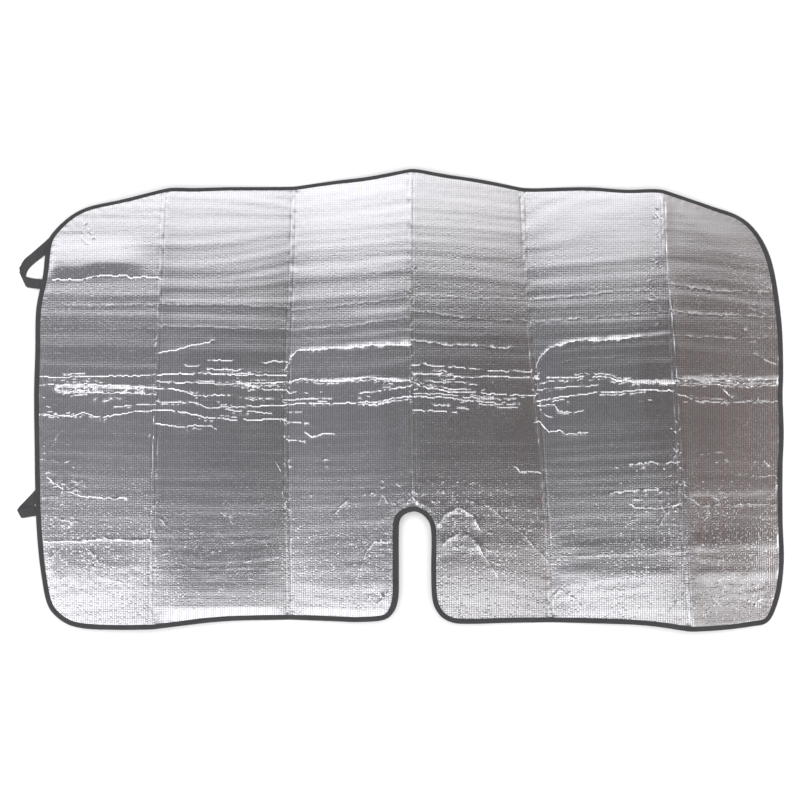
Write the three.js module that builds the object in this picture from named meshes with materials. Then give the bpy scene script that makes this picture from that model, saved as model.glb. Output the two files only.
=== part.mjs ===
// Folding windscreen sunshade lying open on a level surface.
// Millimetres, +Z up. X runs along the long side, Y across it (roof edge +Y, dashboard edge -Y).
// The floor is z = 0. One foil-faced foam sheet with five pressed creases, one tape folded
// over its whole edge, and two flat elastic loops sewn behind the left-hand edge.
import * as THREE from 'three';

// ---- driving dimensions ---------------------------------------------------
const SHEET_T = 2.4;          // foil-faced foam, free thickness
const SEAM_T = 1.2;           // thickness pressed under the edge tape
const TAPE_T = 0.6;           // edge tape thickness
const TAPE_CUT = 17.5;        // width of both tape legs together
const LEG_FACE = 8.6;         // leg on the upper face, sides and lower edge
const LEG_ROOF = 6.0;         // leg on the upper face along the roof edge
const LEG_ROOF_Y = [240, 350]; // y where the leg starts and ends narrowing
const LEG_NOTCH = 10.4;       // leg on the left-hand side of the mirror notch
const GAP = 0.3;              // running gap between touching pieces
const TAPE_BEND = 0.5;        // bevel of the tape's fold

const BAND = 4.0;             // half width of a pressed crease
const RIDGE_Z = 13.0;         // mid-surface height of the three raised creases
const VALLEY_Z = 1.5;         // mid-surface height of the two creases that touch the floor
const LEFT_Z = 4.4;           // mid-surface height at the left end, resting on the loops
const RIGHT_Z = 1.5;          // mid-surface height at the right end
const LEFT_X = -640;
const RIGHT_X = 672;

const STRAP_W = 17.0;         // flat elastic
const STRAP_T = 1.2;
const STRAP_R = 0.8;          // mid-line radius of the strap's turn at its tip

// Creases: x at these y levels, straight in between.
const CREASE_Y = [400, 240, 80, -80, -240, -400];
const CREASES = [
  { z: RIDGE_Z, x: [-407, -414, -419.5, -425, -429.5, -431] },
  { z: VALLEY_Z, x: [-183.5, -188.5, -195, -198, -195.5, -192.5] },
  { z: RIDGE_Z, x: [18.5, 18.2, 19.4, 23.3, 27, 27] },
  { z: VALLEY_Z, x: [211.5, 218.5, 230, 246.5, 258, 263] },
  { z: RIDGE_Z, x: [453.5, 459, 473.5, 483.5, 493, 504] },
];

// Outer edge of the tape, clockwise seen from above. A third value of 1 marks the slight
// corner where a crease meets the edge.
const EDGE = [
  [32, 400], [79, 392], [144, 383], [212, 370, 1], [229, 369], [328, 370], [395, 365], [437, 366],
  [455, 365, 1], [540, 337], [589, 320], [617, 298], [644, 252], [664, 146], [668, 52], [667, 5],
  [669, -59], [667, -115], [667, -211], [669, -285], [660, -347], [640, -387.5], [611, -394],
  [555, -400], [504, -402, 1], [429, -392], [324, -388.6], [262, -387.6, 1], [182, -388], [120, -389],
  [92, -387], [71, -376], [58.5, -356], [55, -335], [54, -295], [53, -219], [47, -206], [27, -193],
  [4, -201], [-1, -211], [-2, -231], [-2, -296], [-3, -345], [-9, -365], [-23, -380], [-71, -386], [-114, -385],
  [-193, -383, 1], [-307, -385], [-431, -398, 1], [-480, -399], [-550, -397], [-578, -390],
  [-600, -375], [-613, -357], [-625, -299], [-632, -232], [-635, -157], [-636, -88], [-637, 16],
  [-635, 84], [-633, 161], [-622, 213], [-612, 279], [-595, 301], [-570, 322], [-543, 335],
  [-483, 348], [-409, 366, 1], [-397, 368], [-358, 368], [-301, 370], [-227, 371], [-184, 372, 1],
  [-108, 382], [-61, 387], [19, 401, 1],
];

// ---- helpers ----------------------------------------------------------------
const lerp = (a, b, t) => a + (b - a) * t;
const smooth = (a, b, v) => { const t = Math.min(1, Math.max(0, (v - a) / (b - a))); return t * t * (3 - 2 * t); };

function creaseX(k, y) {
  const X = CREASES[k].x;
  if (y >= CREASE_Y[0]) return X[0] + (X[0] - X[1]) / (CREASE_Y[0] - CREASE_Y[1]) * (y - CREASE_Y[0]);
  for (let i = 0; i < CREASE_Y.length - 1; i++) {
    if (y >= CREASE_Y[i + 1]) return lerp(X[i], X[i + 1], (CREASE_Y[i] - y) / (CREASE_Y[i] - CREASE_Y[i + 1]));
  }
  return X[X.length - 1];
}

// Mid-surface height: flat facets between creases, each crease a flat pressed band.
function surf(x, y) {
  const n = CREASES.length;
  let xa = LEFT_X, za = LEFT_Z;
  for (let k = 0; k < n; k++) {
    const xc = creaseX(k, y), zc = CREASES[k].z;
    if (x <= xc - BAND) return lerp(za, zc, (x - xa) / (xc - BAND - xa));
    if (x <= xc + BAND) return zc;
    xa = xc + BAND; za = zc;
  }
  return lerp(za, RIGHT_Z, (x - xa) / (RIGHT_X - xa));
}

function legFace(p) {
  const roof = lerp(LEG_FACE, LEG_ROOF, smooth(LEG_ROOF_Y[0], LEG_ROOF_Y[1], p.y));
  const notch = (p.x > -15 && p.x < 20) ? smooth(-385, -350, p.y) * (1 - smooth(-206, -192, p.y)) : 0;
  return lerp(roof, LEG_NOTCH, notch);
}
const legBack = (p) => TAPE_CUT - legFace(p);

// ---- outline ------------------------------------------------------------------
// Centripetal Catmull-Rom through the knots, one-sided at the corners.
function outline() {
  const M = EDGE.length, pts = [];
  const P = EDGE.map((e) => new THREE.Vector2(e[0], e[1]));
  for (let j = 0; j < M; j++) {
    const p1 = P[j], p2 = P[(j + 1) % M];
    let p0 = P[(j + M - 1) % M], p3 = P[(j + 2) % M];
    if (EDGE[j][2]) p0 = p1.clone().multiplyScalar(2).sub(p2);
    if (EDGE[(j + 1) % M][2]) p3 = p2.clone().multiplyScalar(2).sub(p1);
    const d01 = Math.sqrt(p0.distanceTo(p1)), d12 = Math.sqrt(p1.distanceTo(p2)), d23 = Math.sqrt(p2.distanceTo(p3));
    const m = (a, b, c, da, db) => new THREE.Vector2(
      ((b.x - a.x) / da - (c.x - a.x) / (da + db) + (c.x - b.x) / db) * d12,
      ((b.y - a.y) / da - (c.y - a.y) / (da + db) + (c.y - b.y) / db) * d12);
    const m1 = m(p0, p1, p2, d01, d12), m2 = m(p1, p2, p3, d12, d23);
    const len = p1.distanceTo(p2);
    const turn = Math.abs(Math.atan2(m1.x * m2.y - m1.y * m2.x, m1.dot(m2))) * 180 / Math.PI;
    const steps = Math.max(1, Math.min(8, Math.ceil(Math.max(len / 44, turn / 8))));
    for (let i = 0; i < steps; i++) {
      const u = i / steps, u2 = u * u, u3 = u2 * u;
      pts.push(new THREE.Vector2(
        (2 * u3 - 3 * u2 + 1) * p1.x + (u3 - 2 * u2 + u) * m1.x + (-2 * u3 + 3 * u2) * p2.x + (u3 - u2) * m2.x,
        (2 * u3 - 3 * u2 + 1) * p1.y + (u3 - 2 * u2 + u) * m1.y + (-2 * u3 + 3 * u2) * p2.y + (u3 - u2) * m2.y));
    }
  }
  return pts;
}

// Rays: outline points with an inward direction scaled so that one unit is one millimetre of
// inset. Where a crease line crosses the edge the ray follows the crease line itself.
function rays() {
  let pts = outline().map((p) => ({ p, line: -1 }));
  const lines = [];
  for (let k = 0; k < CREASES.length; k++) for (const s of [-1, 1]) lines.push({ k, s, id: lines.length });
  for (const L of lines) {
    const f = (p) => p.x - (creaseX(L.k, p.y) + L.s * BAND);
    const out = [];
    for (let i = 0; i < pts.length; i++) {
      const a = pts[i], b = pts[(i + 1) % pts.length];
      out.push(a);
      const fa = f(a.p), fb = f(b.p);
      if ((fa < 0) !== (fb < 0)) {
        // the middle crease stops at the arch of the notch
        let lo = 0, hi = 1;
        for (let n = 0; n < 50; n++) {
          const t = (lo + hi) / 2;
          const q = a.p.clone().lerp(b.p, t);
          if ((f(q) < 0) === (fa < 0)) lo = t; else hi = t;
        }
        out.push({ p: a.p.clone().lerp(b.p, lo), line: L.id });
      }
    }
    pts = out;
  }
  // drop ordinary points that stand too close to a crossing
  pts = pts.filter((a, i) => {
    if (a.line >= 0) return true;
    const n = pts.length;
    return ![(i + 1) % n, (i + n - 1) % n].some((j) => pts[j].line >= 0 && pts[j].p.distanceTo(a.p) < 2.5);
  });
  const n = pts.length;
  for (let i = 0; i < n; i++) {
    const a = pts[(i + n - 1) % n].p, b = pts[i].p, c = pts[(i + 1) % n].p;
    const e1 = b.clone().sub(a).normalize(), e2 = c.clone().sub(b).normalize();
    // clockwise outline: the material is on the right-hand side of the direction of travel
    const n1 = new THREE.Vector2(e1.y, -e1.x), n2 = new THREE.Vector2(e2.y, -e2.x);
    const nn = n1.clone().add(n2).normalize();
    nn.multiplyScalar(1 / nn.dot(n1));
    pts[i].n = nn;
    if (pts[i].line >= 0) {
      const L = lines[pts[i].line];
      const y0 = b.y, y1 = b.y + (nn.y > 0 ? 12 : -12);
      const d = new THREE.Vector2(creaseX(L.k, y1) - creaseX(L.k, y0), y1 - y0).normalize();
      const unit = nn.clone().normalize();
      pts[i].n = d.multiplyScalar(nn.length() * 1 / d.dot(unit));
    }
  }
  return { pts, lines };
}

const RAYS = rays();

function meshFrom(name, verts, tris, material) {
  const g = new THREE.BufferGeometry();
  g.setAttribute('position', new THREE.Float32BufferAttribute(verts.flat(), 3));
  g.setIndex(tris.flat());
  g.computeVertexNormals();
  const m = new THREE.Mesh(g, material);
  m.name = name;
  return m;
}

// ---- edge tape: one strip folded in half over the sheet's edge, closed on itself --------
function edgeBinding(material) {
  const hi = SEAM_T / 2 + GAP, ho = hi + TAPE_T;
  const verts = [], tris = [];
  const R = RAYS.pts, n = R.length;
  for (const r of R) {
    const wf = legFace(r.p), wb = legBack(r.p);
    const prof = [
      [wf, hi], [wf, ho], [TAPE_BEND, ho], [0, ho - TAPE_BEND], [0, -ho + TAPE_BEND], [TAPE_BEND, -ho],
      [wb, -ho], [wb, -hi], [TAPE_T, -hi], [TAPE_T, hi],
    ];
    for (const [d, z] of prof) {
      const x = r.p.x + r.n.x * d, y = r.p.y + r.n.y * d;
      verts.push([x, y, surf(x, y) + z]);
    }
  }
  const m = 10;
  for (let i = 0; i < n; i++) {
    const j = (i + 1) % n;
    for (let k = 0; k < m; k++) {
      const l = (k + 1) % m;
      const a = i * m + k, b = i * m + l, c = j * m + l, d = j * m + k;
      tris.push([a, c, b], [a, d, c]);
    }
  }
  return meshFrom('edge_binding', verts, tris, material);
}

// ---- sheet ---------------------------------------------------------------------
function foilSheet(material) {
  const R = RAYS.pts, n = R.length;
  const rings = []; // each: {x, y, h}
  const add = (dist, h) => rings.push(R.map((r) => {
    const d = dist(r);
    return { x: r.p.x + r.n.x * d, y: r.p.y + r.n.y * d, h };
  }));
  add(() => TAPE_T + GAP + 0.1, SEAM_T / 2);
  add((r) => Math.max(legFace(r.p), legBack(r.p)) + 1.2, SEAM_T / 2);
  add((r) => Math.max(legFace(r.p), legBack(r.p)) + 6.0, SHEET_T / 2);
  const P = []; // plan vertices
  for (const ring of rings) for (const q of ring) P.push(q);
  const at = (ring, i) => ring * n + ((i % n) + n) % n;
  const tri2 = []; // plan triangles, anticlockwise from above
  const push = (a, b, c) => {
    const A = P[a], B = P[b], C = P[c];
    const cr = (B.x - A.x) * (C.y - A.y) - (B.y - A.y) * (C.x - A.x);
    if (cr > 0) tri2.push([a, b, c]); else tri2.push([a, c, b]);
  };
  for (let r = 0; r < 2; r++) {
    for (let i = 0; i < n; i++) {
      const a = at(r, i), b = at(r, i + 1), c = at(r + 1, i + 1), d = at(r + 1, i);
      push(a, b, c); push(a, c, d);
    }
  }
  // crease lines across the inside, from ring to ring
  const last = 2;
  const ends = RAYS.lines.map((L) => {
    const idx = [];
    R.forEach((r, i) => { if (r.line === L.id) idx.push(i); });
    idx.sort((a, b) => P[at(last, b)].y - P[at(last, a)].y);
    return idx;
  });
  const chains = RAYS.lines.map((L, q) => {
    const [top, bot] = [ends[q][0], ends[q][1]];
    const chain = [at(last, top)];
    const yt = P[at(last, top)].y, yb = P[at(last, bot)].y;
    for (const y of CREASE_Y) {
      if (y < yt - 8 && y > yb + 8) {
        P.push({ x: creaseX(L.k, y) + L.s * BAND, y, h: SHEET_T / 2 });
        chain.push(P.length - 1);
      }
    }
    chain.push(at(last, bot));
    return { top, bot, chain };
  });
  const fill = (loop) => {
    const contour = loop.map((i) => new THREE.Vector2(P[i].x, P[i].y));
    for (const f of THREE.ShapeUtils.triangulateShape(contour, [])) push(loop[f[0]], loop[f[1]], loop[f[2]]);
  };
  const walk = (from, to) => { // clockwise along the innermost ring, both ends included
    const out = [];
    for (let i = from; ; i = (i + 1) % n) { out.push(at(last, i)); if (i === to) break; }
    return out;
  };
  // left of the first line
  const c0 = chains[0], cN = chains[chains.length - 1];
  fill([...walk(c0.bot, c0.top), ...c0.chain.slice(1, -1)]);
  fill([...walk(cN.top, cN.bot), ...cN.chain.slice(1, -1).reverse()]);
  for (let q = 0; q < chains.length - 1; q++) {
    const a = chains[q], b = chains[q + 1];
    // top edge from a to b (clockwise), down b, bottom edge from b to a (clockwise), up a
    const loop = [...walk(a.top, b.top), ...b.chain.slice(1, -1), ...walk(b.bot, a.bot), ...a.chain.slice(1, -1).reverse()];
    fill(loop);
  }
  const m = P.length, verts = [], tris = [];
  for (const p of P) verts.push([p.x, p.y, surf(p.x, p.y) + p.h]);
  for (const p of P) verts.push([p.x, p.y, surf(p.x, p.y) - p.h]);
  for (const [a, b, c] of tri2) { tris.push([a, b, c]); tris.push([a + m, c + m, b + m]); }
  for (let i = 0; i < n; i++) {
    const a = at(0, i), b = at(0, i + 1);
    tris.push([a, b, b + m], [a, b + m, a + m]);
  }
  return meshFrom('foil_sheet', verts, tris, material);
}

// ---- elastic loops ----------------------------------------------------------------
// A flat strap whose two ends are sewn behind the edge; at the tip it turns over itself about
// a slanting line. `tip` is the middle of that fold, `fold` its direction, `a` and `b` the
// centre-line points of the lower and upper leg going away from the tip.
function strap(name, spec, material) {
  const tip = new THREE.Vector2(...spec.tip);
  const f = new THREE.Vector2(...spec.fold).normalize();
  const g = new THREE.Vector2(f.y, -f.x);           // points away from the sheet
  if (g.x > 0) g.negate();
  const mirror = (p) => { const d = p.clone().sub(tip).dot(g); return p.clone().addScaledVector(g, -2 * d); };
  // unfolded centre line: lower leg reversed, tip, mirrored upper leg
  const ctl = [...spec.a.map((p) => new THREE.Vector2(...p)).reverse(), tip, ...spec.b.map((p) => mirror(new THREE.Vector2(...p)))];
  const curve = new THREE.CatmullRomCurve3(ctl.map((p) => new THREE.Vector3(p.x, p.y, 0)), false, 'centripetal');
  const S = curve.getSpacedPoints(400).map((p) => new THREE.Vector2(p.x, p.y));
  const q = S.map((p) => p.clone().sub(tip).dot(g));
  const i0 = q.findIndex((v) => v >= 0);
  const len = (i, j) => { let s = 0; for (let k = i; k < j; k++) s += S[k].distanceTo(S[k + 1]); return s; };
  const La = len(0, i0), Lb = len(i0, S.length - 1), step = (La + Lb) / (S.length - 1);
  const arc = Math.PI * STRAP_R;
  // stations by arc length from the tip (negative on the lower leg)
  const at = (s) => {
    const v = Math.min(S.length - 1.001, Math.max(0, i0 + s / step));
    const i = Math.floor(v), t = v - i;
    const p = S[i].clone().lerp(S[i + 1], t);
    const i1 = Math.max(0, i - 3), i2 = Math.min(S.length - 1, i + 4);
    return { p, t: S[i2].clone().sub(S[i1]).normalize() };
  };
  const T0 = at(0).t, sinp = Math.abs(T0.dot(g));
  const stations = [];
  for (const u of [1, 0.9, 0.78, 0.66, 0.55, 0.44, 0.34, 0.25, 0.17, 0.1]) stations.push(-La * u);
  for (let k = 0; k <= 8; k++) stations.push((k / 8) * arc / sinp);
  for (const u of [0.1, 0.17, 0.25, 0.34, 0.44, 0.55, 0.66, 0.78, 0.9, 1]) stations.push(arc / sinp + (Lb - arc / sinp) * u);
  const W = [-1, -0.5, 0, 0.5, 1];
  const z0 = STRAP_T / 2;
  const mid = []; const nor = [];
  for (const s of stations) {
    const { p, t } = at(s);
    const nrm = new THREE.Vector2(-t.y, t.x);
    const wgt = 1 - smooth(2 + arc, 24, Math.abs(s - arc / 2));
    const cot = t.dot(f) / nrm.dot(f);
    for (const w of W) {
      const pp = p.clone().addScaledVector(nrm, w * STRAP_W / 2).addScaledVector(t, wgt * cot * w * STRAP_W / 2);
      const qq = pp.clone().sub(tip).dot(g);
      let th = 0, out = qq, z = z0;
      if (s > 0 && qq > 1e-9) {
        if (qq < arc) { th = qq / STRAP_R; out = STRAP_R * Math.sin(th); z = z0 + STRAP_R * (1 - Math.cos(th)); }
        else { th = Math.PI; out = -(qq - arc); z = z0 + 2 * STRAP_R; }
      }
      const P2 = pp.clone().addScaledVector(g, out - qq);
      // sewn ends lift to the underside of the tape
      const L = s < 0 ? La : Lb;
      const e = smooth(spec.lift[s < 0 ? 0 : 1], L - 6, Math.abs(s));
      const zu = surf(P2.x, P2.y) - (SEAM_T / 2 + GAP + TAPE_T) - GAP - 0.1 - STRAP_T / 2;
      mid.push(new THREE.Vector3(P2.x, P2.y, lerp(z, Math.max(z, zu), e)));
      nor.push(new THREE.Vector3(-g.x * Math.sin(th), -g.y * Math.sin(th), Math.cos(th)));
    }
  }
  const nw = W.length, ns = stations.length, verts = [], tris = [];
  const h = STRAP_T / 2;
  for (let k = 0; k < mid.length; k++) { const v = mid[k].clone().addScaledVector(nor[k], h); verts.push([v.x, v.y, v.z]); }
  for (let k = 0; k < mid.length; k++) { const v = mid[k].clone().addScaledVector(nor[k], -h); verts.push([v.x, v.y, v.z]); }
  const m = mid.length, id = (i, j) => i * nw + j;
  for (let i = 0; i < ns - 1; i++) for (let j = 0; j < nw - 1; j++) {
    const a = id(i, j), b = id(i + 1, j), c = id(i + 1, j + 1), d = id(i, j + 1);
    tris.push([a, b, c], [a, c, d], [a + m, c + m, b + m], [a + m, d + m, c + m]);
  }
  const rim = [];
  for (let i = 0; i < ns; i++) rim.push(id(i, 0));
  for (let j = 1; j < nw; j++) rim.push(id(ns - 1, j));
  for (let i = ns - 2; i >= 0; i--) rim.push(id(i, nw - 1));
  for (let j = nw - 2; j > 0; j--) rim.push(id(0, j));
  for (let i = 0; i < rim.length; i++) {
    const a = rim[i], b = rim[(i + 1) % rim.length];
    tris.push([b, a, a + m], [b, a + m, b + m]);
  }
  const mesh = meshFrom(name, verts, tris, material);
  return mesh;
}

const UPPER_LOOP = {
  tip: [-658.9, 215], fold: [0.42, -0.907],
  a: [[-658, 225.9], [-651.8, 236.6], [-631.1, 254.5], [-608.8, 273.4], [-598, 282.6]],
  b: [[-649, 208.2], [-637.8, 204.6], [-623.9, 203.2], [-613.5, 202.5]],
  lift: [34, 26],
};
const LOWER_LOOP = {
  tip: [-663.3, -197.6], fold: [0.473, -0.881],
  a: [[-650, -183.8], [-637, -170.3], [-624, -157]],
  b: [[-650, -195.1], [-637, -192.7], [-621, -189.7]],
  lift: [34, 26],
};

// ---- assembly -----------------------------------------------------------------------
const group = new THREE.Group();
group.name = 'windscreen_sunshade';
const foil = new THREE.MeshStandardMaterial({ color: 0xb9b9c2, roughness: 0.32, metalness: 1.0 });
const tape = new THREE.MeshStandardMaterial({ color: 0x2b2b2d, roughness: 0.85, metalness: 0.0 });
const elastic = new THREE.MeshStandardMaterial({ color: 0x333336, roughness: 0.9, metalness: 0.0 });
group.add(foilSheet(foil));
group.add(edgeBinding(tape));
group.add(strap('elastic_loop_upper', UPPER_LOOP, elastic));
group.add(strap('elastic_loop_lower', LOWER_LOOP, elastic));

export default group;
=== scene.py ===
"""Folding windscreen sunshade lying open on a pale floor.

Metres in Blender, millimetres in the tables below. X runs along the long side, Y towards the
roof edge, Z up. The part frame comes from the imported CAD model.
"""

import math

import bpy
import numpy as np
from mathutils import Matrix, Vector, geometry, kdtree


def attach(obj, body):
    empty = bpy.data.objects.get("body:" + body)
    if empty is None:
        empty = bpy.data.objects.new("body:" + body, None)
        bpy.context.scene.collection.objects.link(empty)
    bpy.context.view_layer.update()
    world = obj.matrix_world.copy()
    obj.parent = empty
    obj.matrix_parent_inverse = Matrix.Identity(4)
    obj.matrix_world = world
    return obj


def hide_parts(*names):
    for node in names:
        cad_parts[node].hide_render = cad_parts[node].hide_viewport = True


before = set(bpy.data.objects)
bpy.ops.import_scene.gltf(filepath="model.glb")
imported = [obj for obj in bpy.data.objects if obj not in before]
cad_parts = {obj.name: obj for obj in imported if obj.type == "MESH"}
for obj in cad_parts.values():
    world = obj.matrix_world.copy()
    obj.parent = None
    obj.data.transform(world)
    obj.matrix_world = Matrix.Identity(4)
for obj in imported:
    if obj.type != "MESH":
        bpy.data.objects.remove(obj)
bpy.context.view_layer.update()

MM = 0.001

# --------------------------------------------------------------------------- dimensions, as in CAD
SHEET_T, SEAM_T, TAPE_T, TAPE_CUT = 2.4, 1.2, 0.6, 17.5
LEG_FACE, LEG_ROOF, LEG_NOTCH, GAP = 8.6, 6.0, 10.4, 0.3
BAND, RIDGE_Z, VALLEY_Z = 4.0, 13.0, 1.5
LEFT_Z, RIGHT_Z, LEFT_X, RIGHT_X = 4.4, 1.5, -640.0, 672.0
STRAP_W, STRAP_T, STRAP_R = 17.0, 1.2, 0.8

CREASE_Y = np.array([400.0, 240, 80, -80, -240, -400])
CREASES = [
    (RIDGE_Z, [-407, -414, -419.5, -425, -429.5, -431]),
    (VALLEY_Z, [-183.5, -188.5, -195, -198, -195.5, -192.5]),
    (RIDGE_Z, [18.5, 18.2, 19.4, 23.3, 27, 27]),
    (VALLEY_Z, [211.5, 218.5, 230, 246.5, 258, 263]),
    (RIDGE_Z, [453.5, 459, 473.5, 483.5, 493, 504]),
]
EDGE = [
    (32, 400), (79, 392), (144, 383), (212, 370, 1), (229, 369), (328, 370), (395, 365), (437, 366),
    (455, 365, 1), (540, 337), (589, 320), (617, 298), (644, 252), (664, 146), (668, 52), (667, 5),
    (669, -59), (667, -115), (667, -211), (669, -285), (660, -347), (640, -387.5), (611, -394),
    (555, -400), (504, -402, 1), (429, -392), (324, -388.6), (262, -387.6, 1), (182, -388), (120, -389),
    (92, -387), (71, -376), (58.5, -356), (55, -335), (54, -295), (53, -219), (47, -206), (27, -193),
    (4, -201), (-1, -211), (-2, -231), (-2, -296), (-3, -345), (-9, -365), (-23, -380), (-71, -386),
    (-114, -385), (-193, -383, 1), (-307, -385), (-431, -398, 1), (-480, -399), (-550, -397),
    (-578, -390), (-600, -375), (-613, -357), (-625, -299), (-632, -232), (-635, -157), (-636, -88),
    (-637, 16), (-635, 84), (-633, 161), (-622, 213), (-612, 279), (-595, 301), (-570, 322),
    (-543, 335), (-483, 348), (-409, 366, 1), (-397, 368), (-358, 368), (-301, 370), (-227, 371),
    (-184, 372, 1), (-108, 382), (-61, 387), (19, 401, 1),
]


def smooth(a, b, v):
    t = np.clip((np.asarray(v, float) - a) / (b - a), 0, 1)
    return t * t * (3 - 2 * t)


def crease_x(k, y):
    xs = np.array(CREASES[k][1], float)
    return np.interp(-np.asarray(y, float), -CREASE_Y, xs)


def surf_flat(x, y):
    """Mid-surface height of the faceted sheet, in mm."""
    x, y = np.broadcast_arrays(np.asarray(x, float), np.asarray(y, float))
    knots, heights = [np.full(x.shape, LEFT_X)], [LEFT_Z]
    for k, (z, _) in enumerate(CREASES):
        c = crease_x(k, y)
        knots += [c - BAND, c + BAND]
        heights += [z, z]
    knots.append(np.full(x.shape, RIGHT_X))
    heights.append(RIGHT_Z)
    out = np.full(x.shape, float(LEFT_Z))
    for i in range(len(knots) - 1):
        a, b = knots[i], knots[i + 1]
        t = (x - a) / (b - a)
        lo = -np.inf if i == 0 else 0
        hi = np.inf if i == len(knots) - 2 else 1
        m = (t >= lo) & (t <= hi)
        out = np.where(m, heights[i] + (heights[i + 1] - heights[i]) * t, out)
    return out


def surf(x, y):
    """The same with the bends eased over a few millimetres."""
    return sum(w * surf_flat(x + d, y) for d, w in ((-3, 0.15), (-1.5, 0.2), (0, 0.3), (1.5, 0.2), (3, 0.15)))


def leg_face(x, y):
    roof = LEG_FACE + (LEG_ROOF - LEG_FACE) * smooth(240, 350, y)
    at = (np.asarray(x) > -15) & (np.asarray(x) < 20)
    notch = np.where(at, smooth(-385, -350, y) * (1 - smooth(-206, -192, y)), 0)
    return roof + (LEG_NOTCH - roof) * notch


# --------------------------------------------------------------------------- noise, seeded
def value_noise(x, y, seed):
    xi, yi = np.floor(x).astype(np.int64), np.floor(y).astype(np.int64)
    fx, fy = x - xi, y - yi

    def h(i, j):
        n = (i * 374761393 + j * 668265263 + seed * 974711) & 0xFFFFFFFF
        n = ((n ^ (n >> 13)) * 1274126177) & 0xFFFFFFFF
        return ((n ^ (n >> 16)) & 0xFFFF) / 32767.5 - 1.0

    u, v = fx * fx * fx * (fx * (fx * 6 - 15) + 10), fy * fy * fy * (fy * (fy * 6 - 15) + 10)
    a = h(xi, yi) * (1 - u) + h(xi + 1, yi) * u
    b = h(xi, yi + 1) * (1 - u) + h(xi + 1, yi + 1) * u
    return a * (1 - v) + b * v


def line_noise(s, seed):
    return value_noise(np.asarray(s, float), np.full(np.shape(s), 0.37), seed)


# --------------------------------------------------------------------------- outline
def outline(step):
    P = np.array([e[:2] for e in EDGE], float)
    corner = [len(e) > 2 for e in EDGE]
    M, out = len(P), []
    for j in range(M):
        p1, p2 = P[j], P[(j + 1) % M]
        p0, p3 = P[j - 1], P[(j + 2) % M]
        if corner[j]:
            p0 = 2 * p1 - p2
        if corner[(j + 1) % M]:
            p3 = 2 * p2 - p1
        d01, d12, d23 = (max(np.linalg.norm(b - a), 1e-9) ** 0.5 for a, b in ((p0, p1), (p1, p2), (p2, p3)))
        m1 = ((p1 - p0) / d01 - (p2 - p0) / (d01 + d12) + (p2 - p1) / d12) * d12
        m2 = ((p2 - p1) / d12 - (p3 - p1) / (d12 + d23) + (p3 - p2) / d23) * d12
        n = max(2, int(math.ceil(np.linalg.norm(p2 - p1) / step)))
        u = (np.arange(n) / n)[:, None]
        out.append((2 * u**3 - 3 * u**2 + 1) * p1 + (u**3 - 2 * u**2 + u) * m1 + (-2 * u**3 + 3 * u**2) * p2 + (u**3 - u**2) * m2)
    C = np.concatenate(out)
    # even spacing, then ease the corners by a hair
    D = np.r_[C, C[:1]]
    s = np.r_[0, np.cumsum(np.hypot(*np.diff(D, axis=0).T))]
    n = int(round(s[-1] / step))
    t = np.arange(n) * s[-1] / n
    C = np.c_[np.interp(t, s, D[:, 0]), np.interp(t, s, D[:, 1])]
    for _ in range(2):
        C = 0.25 * np.roll(C, 1, 0) + 0.5 * C + 0.25 * np.roll(C, -1, 0)
    return C, t, s[-1]


RIM, RIM_S, RIM_LEN = outline(4.0)
_t = np.roll(RIM, -1, 0) - np.roll(RIM, 1, 0)
_t /= np.hypot(*_t.T)[:, None]
RIM_T = _t
RIM_N = np.c_[_t[:, 1], -_t[:, 0]]  # inward: the outline runs clockwise


def inset(d):
    return RIM + RIM_N * np.asarray(d, float).reshape(-1, 1)


def mesh_object(name, verts, faces, smooth_angle=None):
    me = bpy.data.meshes.new(name)
    me.from_pydata([tuple(v) for v in np.asarray(verts, float) * MM], [], [tuple(int(i) for i in f) for f in faces])
    me.validate()
    me.update()
    me.polygons.foreach_set("use_smooth", np.ones(len(me.polygons), bool))
    if smooth_angle is not None:
        me.set_sharp_from_angle(angle=math.radians(smooth_angle))
    ob = bpy.data.objects.new(name, me)
    bpy.context.scene.collection.objects.link(ob)
    return ob


def sweep_uv(ob, uv):
    """uv: per-vertex (along, across) in metres, with the seam of the loop handled per face."""
    me = ob.data
    layer = me.uv_layers.new(name="tape")
    idx = np.empty(len(me.loops), int)
    me.loops.foreach_get("vertex_index", idx)
    c = np.asarray(uv)[idx].copy()
    start = np.empty(len(me.polygons), int)
    total = np.empty(len(me.polygons), int)
    me.polygons.foreach_get("loop_start", start)
    me.polygons.foreach_get("loop_total", total)
    span = RIM_LEN * MM
    for a, n in zip(start, total):
        u = c[a:a + n, 0]
        if u.max() - u.min() > span / 2:
            u[u < span / 2] += span
    layer.data.foreach_set("uv", c.ravel())


# --------------------------------------------------------------------------- sheet relief
def px(points):
    """Wrinkle tables are written on a 1.738 mm grid with the origin at the top left."""
    p = np.array(points, float)
    return np.c_[(p[:, 0] - 400) * 1.738, (400 - p[:, 1]) * 1.738]


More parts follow.
